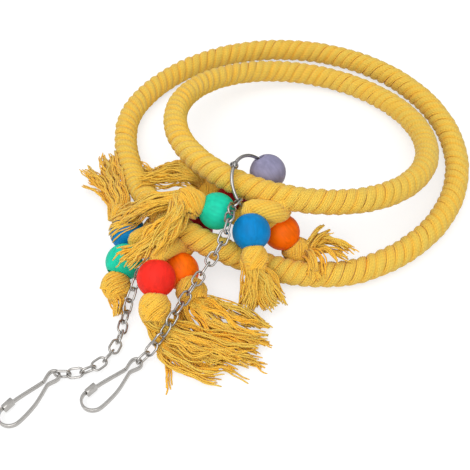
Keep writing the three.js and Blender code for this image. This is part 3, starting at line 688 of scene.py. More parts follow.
class YarnWork:
    """Collects yarns and makes one mesh of them."""

    def __init__(self, ply_mm: float) -> None:
        """Starts with no yarns.

        Args:
            ply_mm: the length of one turn of a yarn's plies.
        """
        self.ply_mm = ply_mm
        self.points: list[np.ndarray] = []
        self.shades: list[np.ndarray] = []
        self.faces: list[list[int]] = []
        self.maps: list[np.ndarray] = []
        self.count = 0

    def add(
        self,
        path: np.ndarray,
        radius: float | np.ndarray,
        shade: float | np.ndarray,
        sides: int = 5,
        cap: Cap = Cap.CUT,
        beside: np.ndarray | None = None,
    ) -> None:
        """Adds one yarn.

        Args:
            path: points of its middle line.
            radius: its radius, one number or one for each point.
            shade: its shade from deep, 0, to light, 1, one number or one for each point.
            sides: corners of its section.
            cap: whether its ends are cut or meet.
            beside: directions that its section is turned to, one for each point.
        """
        rows = len(path)
        loop = cap is Cap.LOOP
        tangent = unit(np.roll(path, -1, 0) - np.roll(path, 1, 0) if loop else np.gradient(path, axis=0))
        if beside is None:
            mean = unit(tangent.mean(axis=0) + SPECK)
            beside = np.eye(3)[int(np.argmin(np.abs(mean)))]
        side = unit(np.cross(tangent, beside))
        up = np.cross(side, tangent)
        turn = 2 * math.pi * np.arange(sides) / sides
        reach = np.broadcast_to(np.asarray(radius, float), (rows,))[:, None, None]
        ring = np.cos(turn)[None, :, None] * side[:, None, :] + np.sin(turn)[None, :, None] * up[:, None, :]
        self.points.append((path[:, None, :] + reach * ring).reshape(-1, 3))
        self.shades.append(np.repeat(np.broadcast_to(np.asarray(shade, float), (rows,)), sides))
        i, j = np.meshgrid(np.arange(rows if loop else rows - 1), np.arange(sides), indexing="ij")
        here, after, next_j = i * sides, (i + 1) % rows * sides, (j + 1) % sides
        quads = np.stack([here + j, after + j, after + next_j, here + next_j], axis=-1)
        self.faces.extend((quads.reshape(-1, 4) + self.count).tolist())
        along = run_along(np.vstack([path, path[:1]])) / self.ply_mm
        u0, u1, v0, v1 = along[i], along[i + 1], j / sides, (j + 1) / sides
        corners = [np.stack(pair, axis=-1) for pair in ((u0, v0), (u1, v0), (u1, v1), (u0, v1))]
        self.maps.append(np.stack(corners, axis=-2).reshape(-1, 2))
        if not loop:
            last = (rows - 1) * sides + self.count
            self.faces.append([self.count + k for k in range(sides)])
            self.faces.append([last + k for k in reversed(range(sides))])
            self.maps.append(np.zeros((2 * sides, 2)))
        self.count += rows * sides

    def build(self, name: str) -> Piece:
        """Makes the yarns' object.

        Args:
            name: the object's name.

        Returns:
            One object in the frame, with the shade attribute and the yarn map.
        """
        mesh = bpy.data.meshes.new(name)
        mesh.from_pydata((np.vstack(self.points) + TIE) * MM, [], self.faces)
        shade = mesh.attributes.new("shade", "FLOAT", "POINT")
        shade.data.foreach_set("value", np.concatenate(self.shades).astype(np.float32))
        layer = mesh.uv_layers.new(name="yarn")
        layer.data.foreach_set("uv", np.vstack(self.maps).astype(np.float32).ravel())
        mesh.polygons.foreach_set("use_smooth", np.ones(len(mesh.polygons), bool))
        mesh.update()
        return new_object(name, mesh)


@dataclass(frozen=True)
class LargeLine:
    """Middle line of the large ring, anticlockwise from its tie.

    Attributes:
        radius: the ring's radius.
        pulls: where it is pulled in: middle and reach, in degrees from the tie, and depth.
        lift: where it stands up in its wire ring, in the same order.
    """

    radius: float = 109.5
    pulls: tuple[Point, ...] = ((-31, 45, 10), (32, 30, 6))
    lift: Point = (2, 42, 2 * BINDER_RADIUS - ROPE_REACH - ROPE_RADIUS)

    @staticmethod
    def bump(turn: np.ndarray, shape: Point) -> np.ndarray:
        """A smooth hump over an angle.

        Args:
            turn: angles, in degrees.
            shape: the hump's middle, reach and height.

        Returns:
            Its height at each angle.
        """
        middle, reach, height = shape
        share = np.minimum(np.abs(turn - middle) / reach, 1)
        return height * np.cos(share * math.pi / 2) ** 2

    def points(self, t: np.ndarray) -> np.ndarray:
        """Places on the line.

        Args:
            t: shares of the way round.

        Returns:
            A point for each.
        """
        turn = np.mod(t + 0.5, 1) * 360 - 180
        radius = self.radius - sum(self.bump(turn, pull) for pull in self.pulls)
        angle = np.radians(turn)
        height = ROPE_RADIUS + self.bump(turn, self.lift)
        return np.column_stack([radius * np.sin(angle), self.radius - radius * np.cos(angle), height])


@dataclass(frozen=True)
class SmallLine:
    """Middle line of the small ring, which leans on the large one, anticlockwise from its tie.

    Attributes:
        radius: the ring's radius.
        tie: where its tie is.
        crest: the height of its highest point.
        heading: the direction of that point from its middle, in degrees.
        past_crest: how far past that point the tie is, in degrees.
    """

    radius: float = 80.0
    tie: tuple[float, float] = (33.7, 41.8)
    crest: float = 41.6
    heading: float = -82.0
    past_crest: float = 11.5

    def flat_points(self, t: np.ndarray) -> np.ndarray:
        """Places about the ring's own middle.

        Args:
            t: shares of the way round.

        Returns:
            A point for each.
        """
        turn = math.radians(self.past_crest) + t * 2 * math.pi
        tilt = math.asin((self.crest - ROPE_RADIUS) / (2 * self.radius))
        heading = math.radians(self.heading)
        along, across = self.radius * np.cos(turn), self.radius * np.sin(turn)
        level, height = along * math.cos(tilt), along * math.sin(tilt)
        x = level * math.cos(heading) - across * math.sin(heading)
        y = level * math.sin(heading) + across * math.cos(heading)
        return np.column_stack([x, y, height])

    def points(self, t: np.ndarray) -> np.ndarray:
        """Places on the line.

        Args:
            t: shares of the way round.

        Returns:
            A point for each.
        """
        start = self.flat_points(np.zeros(1))[0]
        rise = ROPE_RADIUS + (self.crest - ROPE_RADIUS) / 2
        return self.flat_points(t) + np.array([self.tie[0] - start[0], self.tie[1] - start[1], rise])


def ring_frames(line: LargeLine | SmallLine, t: np.ndarray) -> tuple[np.ndarray, np.ndarray, np.ndarray]:
    """Frames on a ring's middle line.

    Args:
        line: the ring's middle line.
        t: shares of the way round.

    Returns:
        Points, vectors level and to the right of travel, and vectors square to these and the line.
    """
    tangent = unit(line.points(t + TANGENT_STEP) - line.points(t - TANGENT_STEP))
    out = unit(np.cross(tangent, UP))
    return line.points(t), out, np.cross(out, tangent)


@dataclass(frozen=True)
class Ripple:
    """A gentle unevenness round a ring: its height, and how often each of its waves comes."""

    height: float
    waves: tuple[int, ...]

    def over(self, t: np.ndarray, rng: np.random.Generator) -> np.ndarray:
        """Draws the unevenness so that it meets itself.

        Args:
            t: shares of the way round.
            rng: source of where its waves start.

        Returns:
            Its height at each share.
        """
        parts = [np.sin(2 * math.pi * (wave * t + rng.random())) for wave in self.waves]
        return self.height * np.sum(np.array(parts) / math.sqrt(len(self.waves)), axis=0)


@dataclass(frozen=True)
class Fold:
    """The strand that crosses over the others where a winding ends.

    Attributes:
        at: how far from the tie it is.
        yarns: how many yarns it has.
        pitch: half the distance between them.
        steps: points of each yarn.
        start: the angle round the rope at which it starts, in degrees.
        sweep: how far round it goes, in degrees.
        run: how far along the rope it goes.
        sink: how deep its ends are.
        rise: how much higher its middle yarns come.
        crown: how much lower its outer yarns are.
        tucked: the share of it that each end takes to come up.
        shade: its yarns' shade.
        edge_painted_shade: how much deeper its outer yarns are, as painted shade where they lie lower.
        shade_spread: how uneven the shade is.
    """

    at: float
    yarns: int = 4
    pitch: float = 0.6
    steps: int = 30
    start: float = -45.0
    sweep: float = 170.0
    run: float = 8.0
    sink: float = 1.6
    rise: float = 1.7
    crown: float = 0.8
    tucked: float = 0.22
    shade: float = 0.85
    edge_painted_shade: float = 0.3
    shade_spread: float = 0.07

    def lay(
        self, work: YarnWork, line: LargeLine | SmallLine, yarn_mm: float, rng: np.random.Generator
    ) -> None:
        """Lays the strand over the rope.

        Args:
            work: what the yarns are added to.
            line: the ring's middle line.
            yarn_mm: a yarn's thickness.
            rng: source of the yarns' shades.
        """
        share = np.linspace(0, 1, self.steps)
        tuck = eased(np.minimum(share, 1 - share) / self.tucked)
        turn = np.radians(self.start + self.sweep * share)
        for yarn in range(self.yarns):
            off = spread(yarn, self.yarns)
            along = self.at + self.run * (share - 0.5) + off * self.yarns * self.pitch
            point, out, up = ring_frames(line, along / (2 * math.pi * line.radius))
            reach = ROPE_RADIUS - self.sink + tuck * (self.rise - self.crown * off**2)
            way = around(turn, out, up)
            # The outer yarns are made deeper: painted shade where they lie lower.
            shade = uneven(rng, self.shade - self.edge_painted_shade * off**4, self.shade_spread)
            work.add(point + reach[:, None] * way, yarn_mm / 2, shade, sides=6, beside=way)


@dataclass
class WoundRope:
    """A rope ring: strands of yarn laid side by side round a core.

    Attributes:
        fold: the strand that crosses over the others, where one is seen.
        strands: how many strands lie side by side.
        strand_mm: how far they lie apart along the rope.
        yarns: how many yarns a strand has.
        yarn_mm: a yarn's thickness.
        dome_mm: how much higher a strand's middle is than its edges.
        fill: the share of its place that a strand takes up.
        steps_per_turn: points of a yarn in one turn.
        sway: how a strand wanders round the rope, in radians.
        swell: how a strand's height varies.
        fuzz: how a yarn's height varies.
        shade: a strand's shade in its middle.
        edge_painted_shade: how much deeper it is at its edges, as painted shade in the grooves between
            strands.
        shade_spread: how uneven the yarns' shades are.
        patches: how a yarn's shade varies.
        core_gap: how far the core stays inside the yarns.
    """

    name: str
    line: LargeLine | SmallLine
    seed: int
    fold: Fold | None = None
    strands: int = 3
    strand_mm: float = 6.3
    yarns: int = 5
    yarn_mm: float = 1.7
    dome_mm: float = 1.0
    fill: float = 0.9
    steps_per_turn: int = 22
    sway: Ripple = Ripple(0.07, (23, 41, 67))
    swell: Ripple = Ripple(0.1, (31, 57, 83))
    fuzz: Ripple = Ripple(0.06, (71, 113))
    shade: float = 0.9
    edge_painted_shade: float = 0.45
    shade_spread: float = 0.06
    patches: Ripple = Ripple(0.07, (9, 29))
    core_gap: float = 0.3
    core_steps_per_turn: int = 4
    core_sides: int = 20
    finish: DyedCotton = DyedCotton()

    def core(self, work: YarnWork, turns: int, radius: float) -> None:
        """Lays the plain cord that fills the rope.

        Args:
            work: what it is added to.
            turns: how many turns the strands make round it.
            radius: its radius.
        """
        steps = turns * self.core_steps_per_turn
        point, _, up = ring_frames(self.line, np.arange(steps) / steps)
        # The core takes the deepest shade, 0, as painted shade in the grooves between the strands, where it
        # shows.
        work.add(point, radius, 0.0, sides=self.core_sides, cap=Cap.LOOP, beside=up)

    def build(self, paints: Paints) -> None:
        """Winds the rope.

        Args:
            paints: where its material comes from.
        """
        rng = np.random.default_rng(self.seed)
        length = 2 * math.pi * self.line.radius
        turns = round(length / (self.strands * self.strand_mm))
        t = np.arange(turns * self.steps_per_turn) / (turns * self.steps_per_turn)
        point, out, up = ring_frames(self.line, t)
        low = ROPE_RADIUS - self.yarn_mm / 2 - self.dome_mm
        work = YarnWork(self.finish.ply_mm)
        for strand in range(self.strands):
            sway = self.sway.over(t, rng)
            swell = self.swell.over(t, rng)
            for yarn in range(self.yarns):
                off = spread(yarn, self.yarns)
                reach = low + self.dome_mm * (1 - off**2) + swell + self.fuzz.over(t, rng)
                place = (strand + 0.5 + off * self.fill / 2) / self.strands
                way = around(2 * math.pi * (turns * t + place) + sway, out, up)
                # The strands' edge yarns are made deeper: painted shade in the grooves between strands.
                shade = self.shade - self.edge_painted_shade * off**4 + self.shade_spread * rng.standard_normal()
                shade = np.clip(shade + self.patches.over(t, rng), 0, 1)
                path = point + reach[:, None] * way
                work.add(path, self.yarn_mm / 2, shade, cap=Cap.LOOP, beside=way)
        self.core(work, turns, low - self.core_gap)
        if self.fold is not None:
            self.fold.lay(work, self.line, self.yarn_mm, rng)
        piece = work.build(f"{self.name}_wound_rope")
        paints.dress(piece, self.finish)
        rest_on(piece, f"{self.name}_ring", f"{self.name}_wrap", f"{self.name}_core")


@dataclass
class Clearances:
    """What the loose yarns of the tassels lie round: ropes, beads, knots and chains, and the floor.

    Attributes:
        lines: points of each thing, and its thickness about them.
        passes: how often everything is gone through.
        same: what starts nearer than this to a yarn's own knot is that knot.
    """

    lines: list[tuple[np.ndarray, float]]
    passes: int = 2
    same: float = 1.0

    def ease(self, points: np.ndarray, radius: float, own: np.ndarray) -> np.ndarray:
        """Moves points out of what they lie in.

        Args:
            points: the points of one yarn.
            radius: the yarn's radius.
            own: the middle of the knot that the yarn comes out of, which it may lie in.

        Returns:
            The moved points.
        """
        moved = points.copy()
        rows = np.arange(len(moved))
        for _ in range(self.passes):
            for line, thick in self.lines:
                if np.linalg.norm(line[0] - own) < self.same:
                    continue
                gap = moved[:, None, :] - line[None, :, :]
                distance = np.linalg.norm(gap, axis=2)
                near = np.argmin(distance, axis=1)
                short = thick + radius - distance[rows, near]
                way = gap[rows, near] / np.maximum(distance[rows, near], TINY)[:, None]
                moved += np.maximum(short, 0)[:, None] * way
            moved[:, 2] = np.maximum(moved[:, 2], radius)
        return moved


@dataclass(frozen=True)
class Band:
    """A broad band of yarns wound round an axis, its ends tucked in.

    Attributes:
        reach: its outer radius.
        width: its width along the axis.
        lean: how far it leans over, in degrees.
        start: the angle at which it starts, in degrees.
        turns: how many turns it makes.
        inner: its radius at its two edges.
        yarn: a yarn's thickness.
        overlap: how far its yarns lie apart, as a share of that.
        steps: points of a yarn in one turn.
        tucked: the share of it that each end takes to come up.
        depth: the radius at which its ends are tucked.
        climb: how much higher it ends than it starts.
        gathered: the share of its width that it has at its tucked ends.
        wobble: how uneven a yarn's radius is.
        wobbles: how often that comes in a turn.
        shade: its yarns' shade.
        end_painted_shade: how much deeper it is at its tucked ends, as painted shade where they go under.
    """

    reach: float
    width: float
    lean: float
    start: float
    turns: float
    inner: float
    yarn: float = 1.4
    overlap: float = 0.78
    steps: int = 40
    tucked: float = 0.13
    depth: float = 2.2
    climb: float = 0.4
    gathered: float = 0.55
    wobble: float = 0.12
    wobbles: int = 3
    shade: float = 0.68
    end_painted_shade: float = 0.3

    def wind(self, work: YarnWork, middle: np.ndarray, axis: np.ndarray, rng: np.random.Generator) -> None:
        """Winds the band.

        Args:
            work: what the yarns are added to.
            middle: the middle of the band.
            axis: the direction that it goes round.
            rng: source of small unevenness.
        """
        basis = basis_along(axis)
        count = max(3, round(self.width / (self.yarn * self.overlap)))
        turn = np.linspace(0, self.turns * 2 * math.pi, round(self.steps * self.turns))
        share = turn / turn[-1]
        tuck = eased(np.minimum(share, 1 - share) / self.tucked)
        angle = turn + math.radians(self.start)
        for k in range(count):
            off = spread(k, count)
            barrel = self.inner + (self.reach - self.yarn / 2 - self.inner) * math.sqrt(1 - off**2)
            wobble = self.wobble * np.sin(self.wobbles * turn + 6 * rng.random())
            radius = self.depth + (barrel - self.depth) * tuck + self.climb * share * tuck + wobble
            level = off * self.width / 2 * (self.gathered + (1 - self.gathered) * tuck)
            height = level + math.tan(math.radians(self.lean)) * radius * np.cos(angle)
            # The yarns are made deeper towards their tucked ends: painted shade where they go under.
            shade = uneven(rng, self.shade - self.end_painted_shade * (1 - tuck))
            local = np.column_stack([radius * np.cos(angle), radius * np.sin(angle), height])
            path = middle + local @ basis.T
            path[:, 2] = np.maximum(path[:, 2], self.yarn / 2)
            work.add(path, self.yarn / 2, shade, sides=6)


@dataclass(frozen=True)
class Knot:
    """A round knot behind a bead: the tail's yarns swell out and gather again, with one band across them.

    Attributes:
        size: its size against the usual knot.
        way: the direction that it lies in, where that isn't the bead's own.
        closed: whether its yarns meet at its end, where hardly a tassel comes out.
        length: the usual length.
        neck: the radius that its yarns have at its ends.
        opening: where on a half wave it starts to swell.
        open_end: how much of that wave it takes, where a tassel comes out.
        closed_end: how much it takes where it is closed.
        early: under 1, it is widest before its middle.
        fullness: under 1, it is fuller than a half wave.
        yarn: a yarn's thickness.
        taper: a yarn's radius at its start and at its end, as shares of that.
        overlap: how far its yarns lie apart, as a share of that.
        steps: points of each yarn.
        twist: how far its yarns turn on their way, in degrees.
        sway: how far a yarn wanders round it, in radians.
        stand: how far a yarn stands in or out.
        shade: its yarns' shade.
        end_painted_shade: how much deeper it is at their ends, as painted shade where they gather in.
        band_lean: how far the band leans over, in degrees.
        band_turns: how many turns it makes.
        band_width: its width, as a share of the knot's length.
        band_place: where on that length its middle is.
        band_rise: how far it stands out, in yarns.
        band_sink: how far its edges lie in the knot.
    """

    size: float = 1.0
    way: Point | None = None
    closed: bool = False
    length: float = 14.5
    neck: float = 4.3
    opening: float = 0.08
    open_end: float = 0.86
    closed_end: float = 0.91
    early: float = 0.85
    fullness: float = 0.75
    yarn: float = 1.75
    taper: tuple[float, float] = (0.42, 0.28)
    overlap: float = 0.6
    steps: int = 24
    twist: float = 110.0
    sway: float = 0.1
    stand: float = 0.3
    shade: float = 0.66
    end_painted_shade: float = 0.2
    band_lean: float = 22.0
    band_turns: float = 0.9
    band_width: float = 0.45
    band_place: float = 0.42
    band_rise: float = 0.6
    band_sink: float = 0.5

    def tie(self, work: YarnWork, start: np.ndarray, axis: np.ndarray, rng: np.random.Generator) -> None:
        """Ties the knot.

        Args:
            work: what the yarns are added to.
            start: the far mouth of the bead.
            axis: the direction out of the bead.
            rng: source of small unevenness.
        """
        basis = basis_along(axis)
        length = self.length * self.size
        belly = KNOT_RADIUS * self.size - self.yarn
        share = np.linspace(0, 1, self.steps)
        neck = self.neck * (1 - share**2 if self.closed else np.ones_like(share))
        end = self.closed_end if self.closed else self.open_end
        round_off = np.sin(math.pi * (self.opening + end * share**self.early)) ** self.fullness
        thick = self.yarn * (self.taper[0] + (self.taper[1] - self.taper[0]) * share)
        count = round(2 * math.pi * belly / (self.yarn * self.overlap))
        twist = math.radians(self.twist) * share
        for k in range(count):
            turn = 2 * math.pi * k / count + twist + self.sway * np.sin(5 * share + k)
            reach = neck + (belly - neck + self.stand * rng.standard_normal()) * round_off
            local = np.column_stack([reach * np.cos(turn), reach * np.sin(turn), length * share])
            path = start + local @ basis.T
            path[:, 2] = np.maximum(path[:, 2], thick)
            # The yarns are made deeper towards the knot's far end: painted shade where they gather in.
            work.add(path, thick, uneven(rng, self.shade - self.end_painted_shade * share**2))
        across = Band(
            reach=belly + self.band_rise * self.yarn,
            width=self.band_width * length,
            lean=self.band_lean,
            start=0.0,
            turns=self.band_turns,
            inner=belly - self.band_sink,
        )
        across.wind(work, start + axis * length * self.band_place, axis, rng)


@dataclass(frozen=True)
class Wave:
    """A wave along a yarn.

    Attributes:
        height: its greatest height.
        shortest, longest: the limits of its length.
        least: the least share of the height that one may have.
    """

    height: float
    shortest: float
    longest: float
    least: float = 0.3

    def draw(self, along: np.ndarray, rng: np.random.Generator) -> np.ndarray:
        """Draws one such wave at random.

        Args:
            along: distances along the yarn.
            rng: source of its height, length and start.

        Returns:
            Its height at each distance.
        """
        height = rng.uniform(self.least, 1) * self.height
        length = rng.uniform(self.shortest, self.longest)
        return height * np.sin(2 * math.pi * (along / length + rng.random()))


@dataclass(frozen=True)
class Lock:
    """One lock of a tassel: loose yarns that fan out of a knot, in clumps that wave together.

    Attributes:
        points: its middle line, after the knot.
        thick: its half thickness.
        flat: how flat it is, where 1 is round.
        grow: how much wider it is at its end.
        clumps: how many clumps it has.
        stray: the share of the clumps that stray from it.
        straying: the least and the most that such a clump spreads.
        yarns: the least number of yarns in a clump, and one more than the most.
        yarn: a yarn's thickness.
        tip: how thick its tip is, as a share of that.
        spacing: the distance between points of a yarn.
        start: how far past the knot's middle it still runs straight.
        mouth: its half thickness where it leaves the knot.
        mouth_run: how far it takes to lose that.
        gathered: how thick it is at first, as a share of its thickness.
        freed: the share of its length after which its yarns are free.
        apart: how far the yarns of a clump lie apart at the knot and at the end.
        wide, high: how far they lie from the clump's middle, sideways and upwards.
        bend, lift: how a clump waves sideways and upwards.
        curl, kink: how a yarn waves sideways and upwards in its clump.
        end: the share of its length at which a clump ends.
        end_spread: how uneven that is, for clumps and for their yarns.
        end_limits: the shortest and the longest share.
        beyond: how far the longest yarns may go past its last point.
        shade: its yarns' shade, deeper than the rope's as painted shade and bounced light among the loose
            yarns.
        shade_spread: how uneven the clumps' shades are.
        painted_top_light: how much lighter its upper clumps are, as painted light from above.
    """

    points: tuple[Point, ...]
    thick: float = 4.2
    flat: float = 0.6
    grow: float = 1.3
    clumps: int = 8
    stray: float = 0.15
    straying: tuple[float, float] = (0.3, 1.0)
    yarns: tuple[int, int] = (4, 9)
    yarn: float = 0.95
    tip: float = 0.7
    spacing: float = 1.7
    start: float = 5.0
    mouth: float = 6.0
    mouth_run: float = 32.0
    gathered: float = 0.6
    freed: float = 0.5
    apart: tuple[float, float] = (0.7, 1.3)
    wide: float = 0.75
    high: float = 0.6
    bend: Wave = Wave(1.9, 18, 40)
    lift: Wave = Wave(1.14, 18, 40)
    curl: Wave = Wave(0.45, 7, 16)
    kink: Wave = Wave(0.35, 7, 16)
    end: float = 0.97
    end_spread: float = 0.05
    end_limits: tuple[float, float] = (0.6, 1.15)
    beyond: float = 6.0
    # Painted shade: the loose yarns take a deeper tone than the same yarn in the rope.
    shade: float = 0.6
    shade_spread: float = 0.14
    painted_top_light: float = 0.12

    def fan(
        self, work: YarnWork, knot: np.ndarray, axis: np.ndarray, rng: np.random.Generator, room: Clearances
    ) -> None:
        """Fans the lock out of its knot.

        Args:
            work: what the yarns are added to.
            knot: the middle of the knot.
            axis: the direction out of the bead.
            rng: source of the yarns' own ways.
            room: what the yarns lie round.
        """
        points = np.vstack([knot - axis, knot + self.start * axis, np.array(self.points)])
        past = points[-1] + unit(points[-1] - points[-2]) * self.beyond
        spine = smooth_path(np.vstack([points, past]), self.spacing)
        side, up = carried_frames(spine)
        along = np.arange(len(spine)) * self.spacing
        share = along / (along[-1] - self.beyond)
        free = eased(share / self.freed)
        swell = self.thick * (self.gathered + (1 - self.gathered) * free) * (1 + (self.grow - 1) * share)
        swell = np.maximum(swell, self.mouth * np.clip(1 - along / self.mouth_run, 0, 1))
        apart = self.apart[0] + (self.apart[1] - self.apart[0]) * share
        for _ in range(self.clumps):
            out, way = math.sqrt(rng.random()), 2 * math.pi * rng.random()
            loose = rng.uniform(*self.straying) if rng.random() < self.stray else 0.0
            far = swell * out * (1 + loose * share**2)
            wide = far / math.sqrt(self.flat) * math.cos(way) + self.bend.draw(along, rng) * free
            high = far * math.sqrt(self.flat) * math.sin(way) + self.lift.draw(along, rng) * free
            # Painted light: clumps on the lock's upper side are made lighter.
            shade = self.shade + self.shade_spread * rng.standard_normal() + self.painted_top_light * math.sin(way)
            clump_end = rng.normal(self.end, self.end_spread)
            for _ in range(int(rng.integers(*self.yarns))):
                across = wide + rng.normal(0, self.wide) * apart + self.curl.draw(along, rng) * free
                above = high + rng.normal(0, self.high) * apart + self.kink.draw(along, rng) * free
                path = spine + across[:, None] * side + above[:, None] * up
                end = np.clip(clump_end + rng.normal(0, self.end_spread), *self.end_limits)
                path = room.ease(path[share <= end], self.yarn / 2, knot)
                taper = np.full(len(path), self.yarn / 2)
                taper[-1] *= self.tip
                work.add(path, taper, uneven(rng, shade), sides=4)


@dataclass(frozen=True)
class Tail:
    """One rope tail: through a bead, into a knot, out as a tassel.

    Attributes:
        bead: the bead that it goes through.
        bends: points of the leg before the bead.
        locks: the locks of its tassel.
        knot: its knot.
    """

    bead: str
    bends: tuple[Point, ...]
    locks: tuple[Lock, ...]
    knot: Knot = Knot()

    def knot_middle(self, frame: Frame) -> np.ndarray:
        """Where the middle of its knot is.

        Args:
            frame: where the bead is.

        Returns:
            A point behind the bead.
        """
        spin = f"{self.bead}_spin"
        way = frame.axis(spin) if self.knot.way is None else unit(np.array(self.knot.way))
        return frame.anchor(spin) + way * (BEAD_HALF + KNOT_LENGTH / 2)


@dataclass
class TailPair:
    """Two tails from one root in a ring's wrap.

    Attributes:
        root: how far from the tie they leave the wrap, and how far below level, in degrees.
        plump: how loose a leg is before its bead, against how it is in the bead.
        yarn_mm: the thickness of a leg's yarns.
        layers: the number of yarns in each layer of a leg, and the layer's radius.
        stagger: how far each layer is turned on, as a share of a turn.
        lay_mm: how far along a leg its yarns go in one radian.
        spacing: the distance between points of a leg.
        loosening: how far before its bead a leg takes to loosen.
        start: how far from the rope's middle a leg starts.
        stop: how far before its knot's middle it stops.
        shade: its yarns' shade.
        hitch: the band where they leave the wrap.
    """

    ring: str
    side: str
    line: LargeLine | SmallLine
    root: tuple[float, float]
    seed: int
    tails: tuple[Tail, ...]
    plump: float = 1.2
    yarn_mm: float = 1.45
    layers: tuple[tuple[int, float], ...] = ((1, 0.0), (7, 1.7), (18, 3.45))
    stagger: float = 0.04
    lay_mm: float = 9.0
    spacing: float = 2.0
    loosening: float = 6.0
    start: float = 2.0
    stop: float = 3.0
    shade: float = 0.72
    hitch: Band = Band(reach=6.6, width=6.0, lean=12.0, start=40.0, turns=1.5, inner=4.4)
    finish: DyedCotton = DyedCotton()

    def leg(self, work: YarnWork, path: np.ndarray, rng: np.random.Generator, loose: np.ndarray) -> None:
        """Lays a round strand of yarns along a path, with a slow twist.

        Args:
            work: what the yarns are added to.
            path: points of its middle line.
            rng: source of the yarns' shades.
            loose: how loose it is at each point.
        """
        side, up = carried_frames(path)
        twist = run_along(path) / self.lay_mm
        for layer, (count, reach) in enumerate(self.layers):
            for k in range(count):
                turn = 2 * math.pi * (k / count + self.stagger * layer) + twist
                off = (reach * loose)[:, None] * around(turn, side, up)
                work.add(path + off, self.yarn_mm / 2 * loose, uneven(rng, self.shade), sides=6)

    def build(self, frame: Frame, paints: Paints, room: Clearances) -> None:
        """Makes both tails.

        Args:
            frame: where the beads are.
            paints: where the material comes from.
            room: what the loose yarns lie round.
        """
        rng = np.random.default_rng(self.seed)
        away, drop = self.root
        share = np.array([away / (2 * math.pi * self.line.radius)])
        point, out, up = (rows[0] for rows in ring_frames(self.line, share))
        way = out * math.cos(math.radians(drop)) - up * math.sin(math.radians(drop))
        leave = point + way * (ROPE_REACH + CLEARANCE + HITCH_STAND)
        work = YarnWork(self.finish.ply_mm)
        self.hitch.wind(work, leave, way, rng)
        for tail in self.tails:
            middle = frame.anchor(f"{tail.bead}_spin")
            axis = frame.axis(f"{tail.bead}_spin")
            entry = middle - axis * BEAD_HALF
            knot = tail.knot_middle(frame)
            lay = unit(knot - middle)
            bends = [np.array(bend) for bend in tail.bends]
            straight = [entry - axis * LEG_STRAIGHT, entry, middle, knot - lay * self.stop]
            path = smooth_path(np.array([point + way * self.start, leave, *bends, *straight]), self.spacing)
            near_bead = np.linalg.norm(path - entry, axis=1).argmin()
            before = (near_bead - np.arange(len(path))) * self.spacing / self.loosening
            self.leg(work, path, rng, 1 + (self.plump - 1) * np.clip(before, 0, 1))
            tail.knot.tie(work, middle + lay * BEAD_HALF, lay, rng)
            for lock in tail.locks:
                lock.fan(work, knot, lay, rng, room)
        piece = work.build(f"{self.ring}_{self.side}_beaded_tails")
        paints.dress(piece, self.finish)
        rest_on(piece, f"{self.ring}_ring", f"{self.ring}_{self.side}_tails")


@dataclass
class Bead:
    """A turned wooden ball with a bore and rounded mouths.

    Attributes:
        lip: how far the rounding of a mouth reaches.
        lip_steps: how many faces it has.
        steps, rings: how many faces the ball has round its bore and along it.
        cut: how far apart in the wood two beads are cut, for each letter of their names.
    """

    name: str
    stain: Stain
    bore: float
    lip: float = 0.7
    lip_steps: int = 3
    steps: int = 48
    rings: int = 32
    cut: float = 7.0

    def ball(self) -> Piece:
        """Turns the ball, bores it along Z and rounds the mouths of the bore.

        Returns:
            The ball, about the origin.
        """
        mouth = math.sqrt(BEAD_RADIUS**2 - self.bore**2)
        piece = added(
            f"{self.name}_turned",
            bpy.ops.mesh.primitive_uv_sphere_add,
            segments=self.steps,
            ring_count=self.rings,
            radius=BEAD_RADIUS,
        )
        bpy.ops.object.mode_set(mode="EDIT")
        bpy.ops.mesh.select_mode(type="EDGE")
        for way in BOTH_WAYS:
            bpy.ops.mesh.select_all(action="SELECT")
            bpy.ops.mesh.bisect(plane_co=(0, 0, way * mouth), plane_no=(0, 0, way), clear_outer=True)
        bpy.ops.mesh.select_all(action="DESELECT")
        bpy.ops.mesh.select_non_manifold()
        bpy.ops.mesh.bridge_edge_loops()
        turned_outwards()
        bevel(piece, self.lip, self.lip_steps, angle=40)
        bpy.ops.object.shade_smooth()
        return piece

    def build(self, frame: Frame, paints: Paints) -> None:
        """Turns the bead and sets it on its rope or wire.

        Args:
            frame: where it is.
            paints: where its material comes from.
        """
        piece = self.ball()
        places = np.array([v.co for v in piece.data.vertices], np.float32)
        grain = piece.data.attributes.new("turned", "FLOAT_VECTOR", "POINT")
        grain.data.foreach_set("vector", (places + len(self.name) * self.cut).ravel())
        settle(piece, basis_along(frame.axis(f"{self.name}_spin")), frame.anchor(f"{self.name}_spin"))
        paints.dress(piece, self.stain.value)
        rest_on(piece, self.name, self.name)


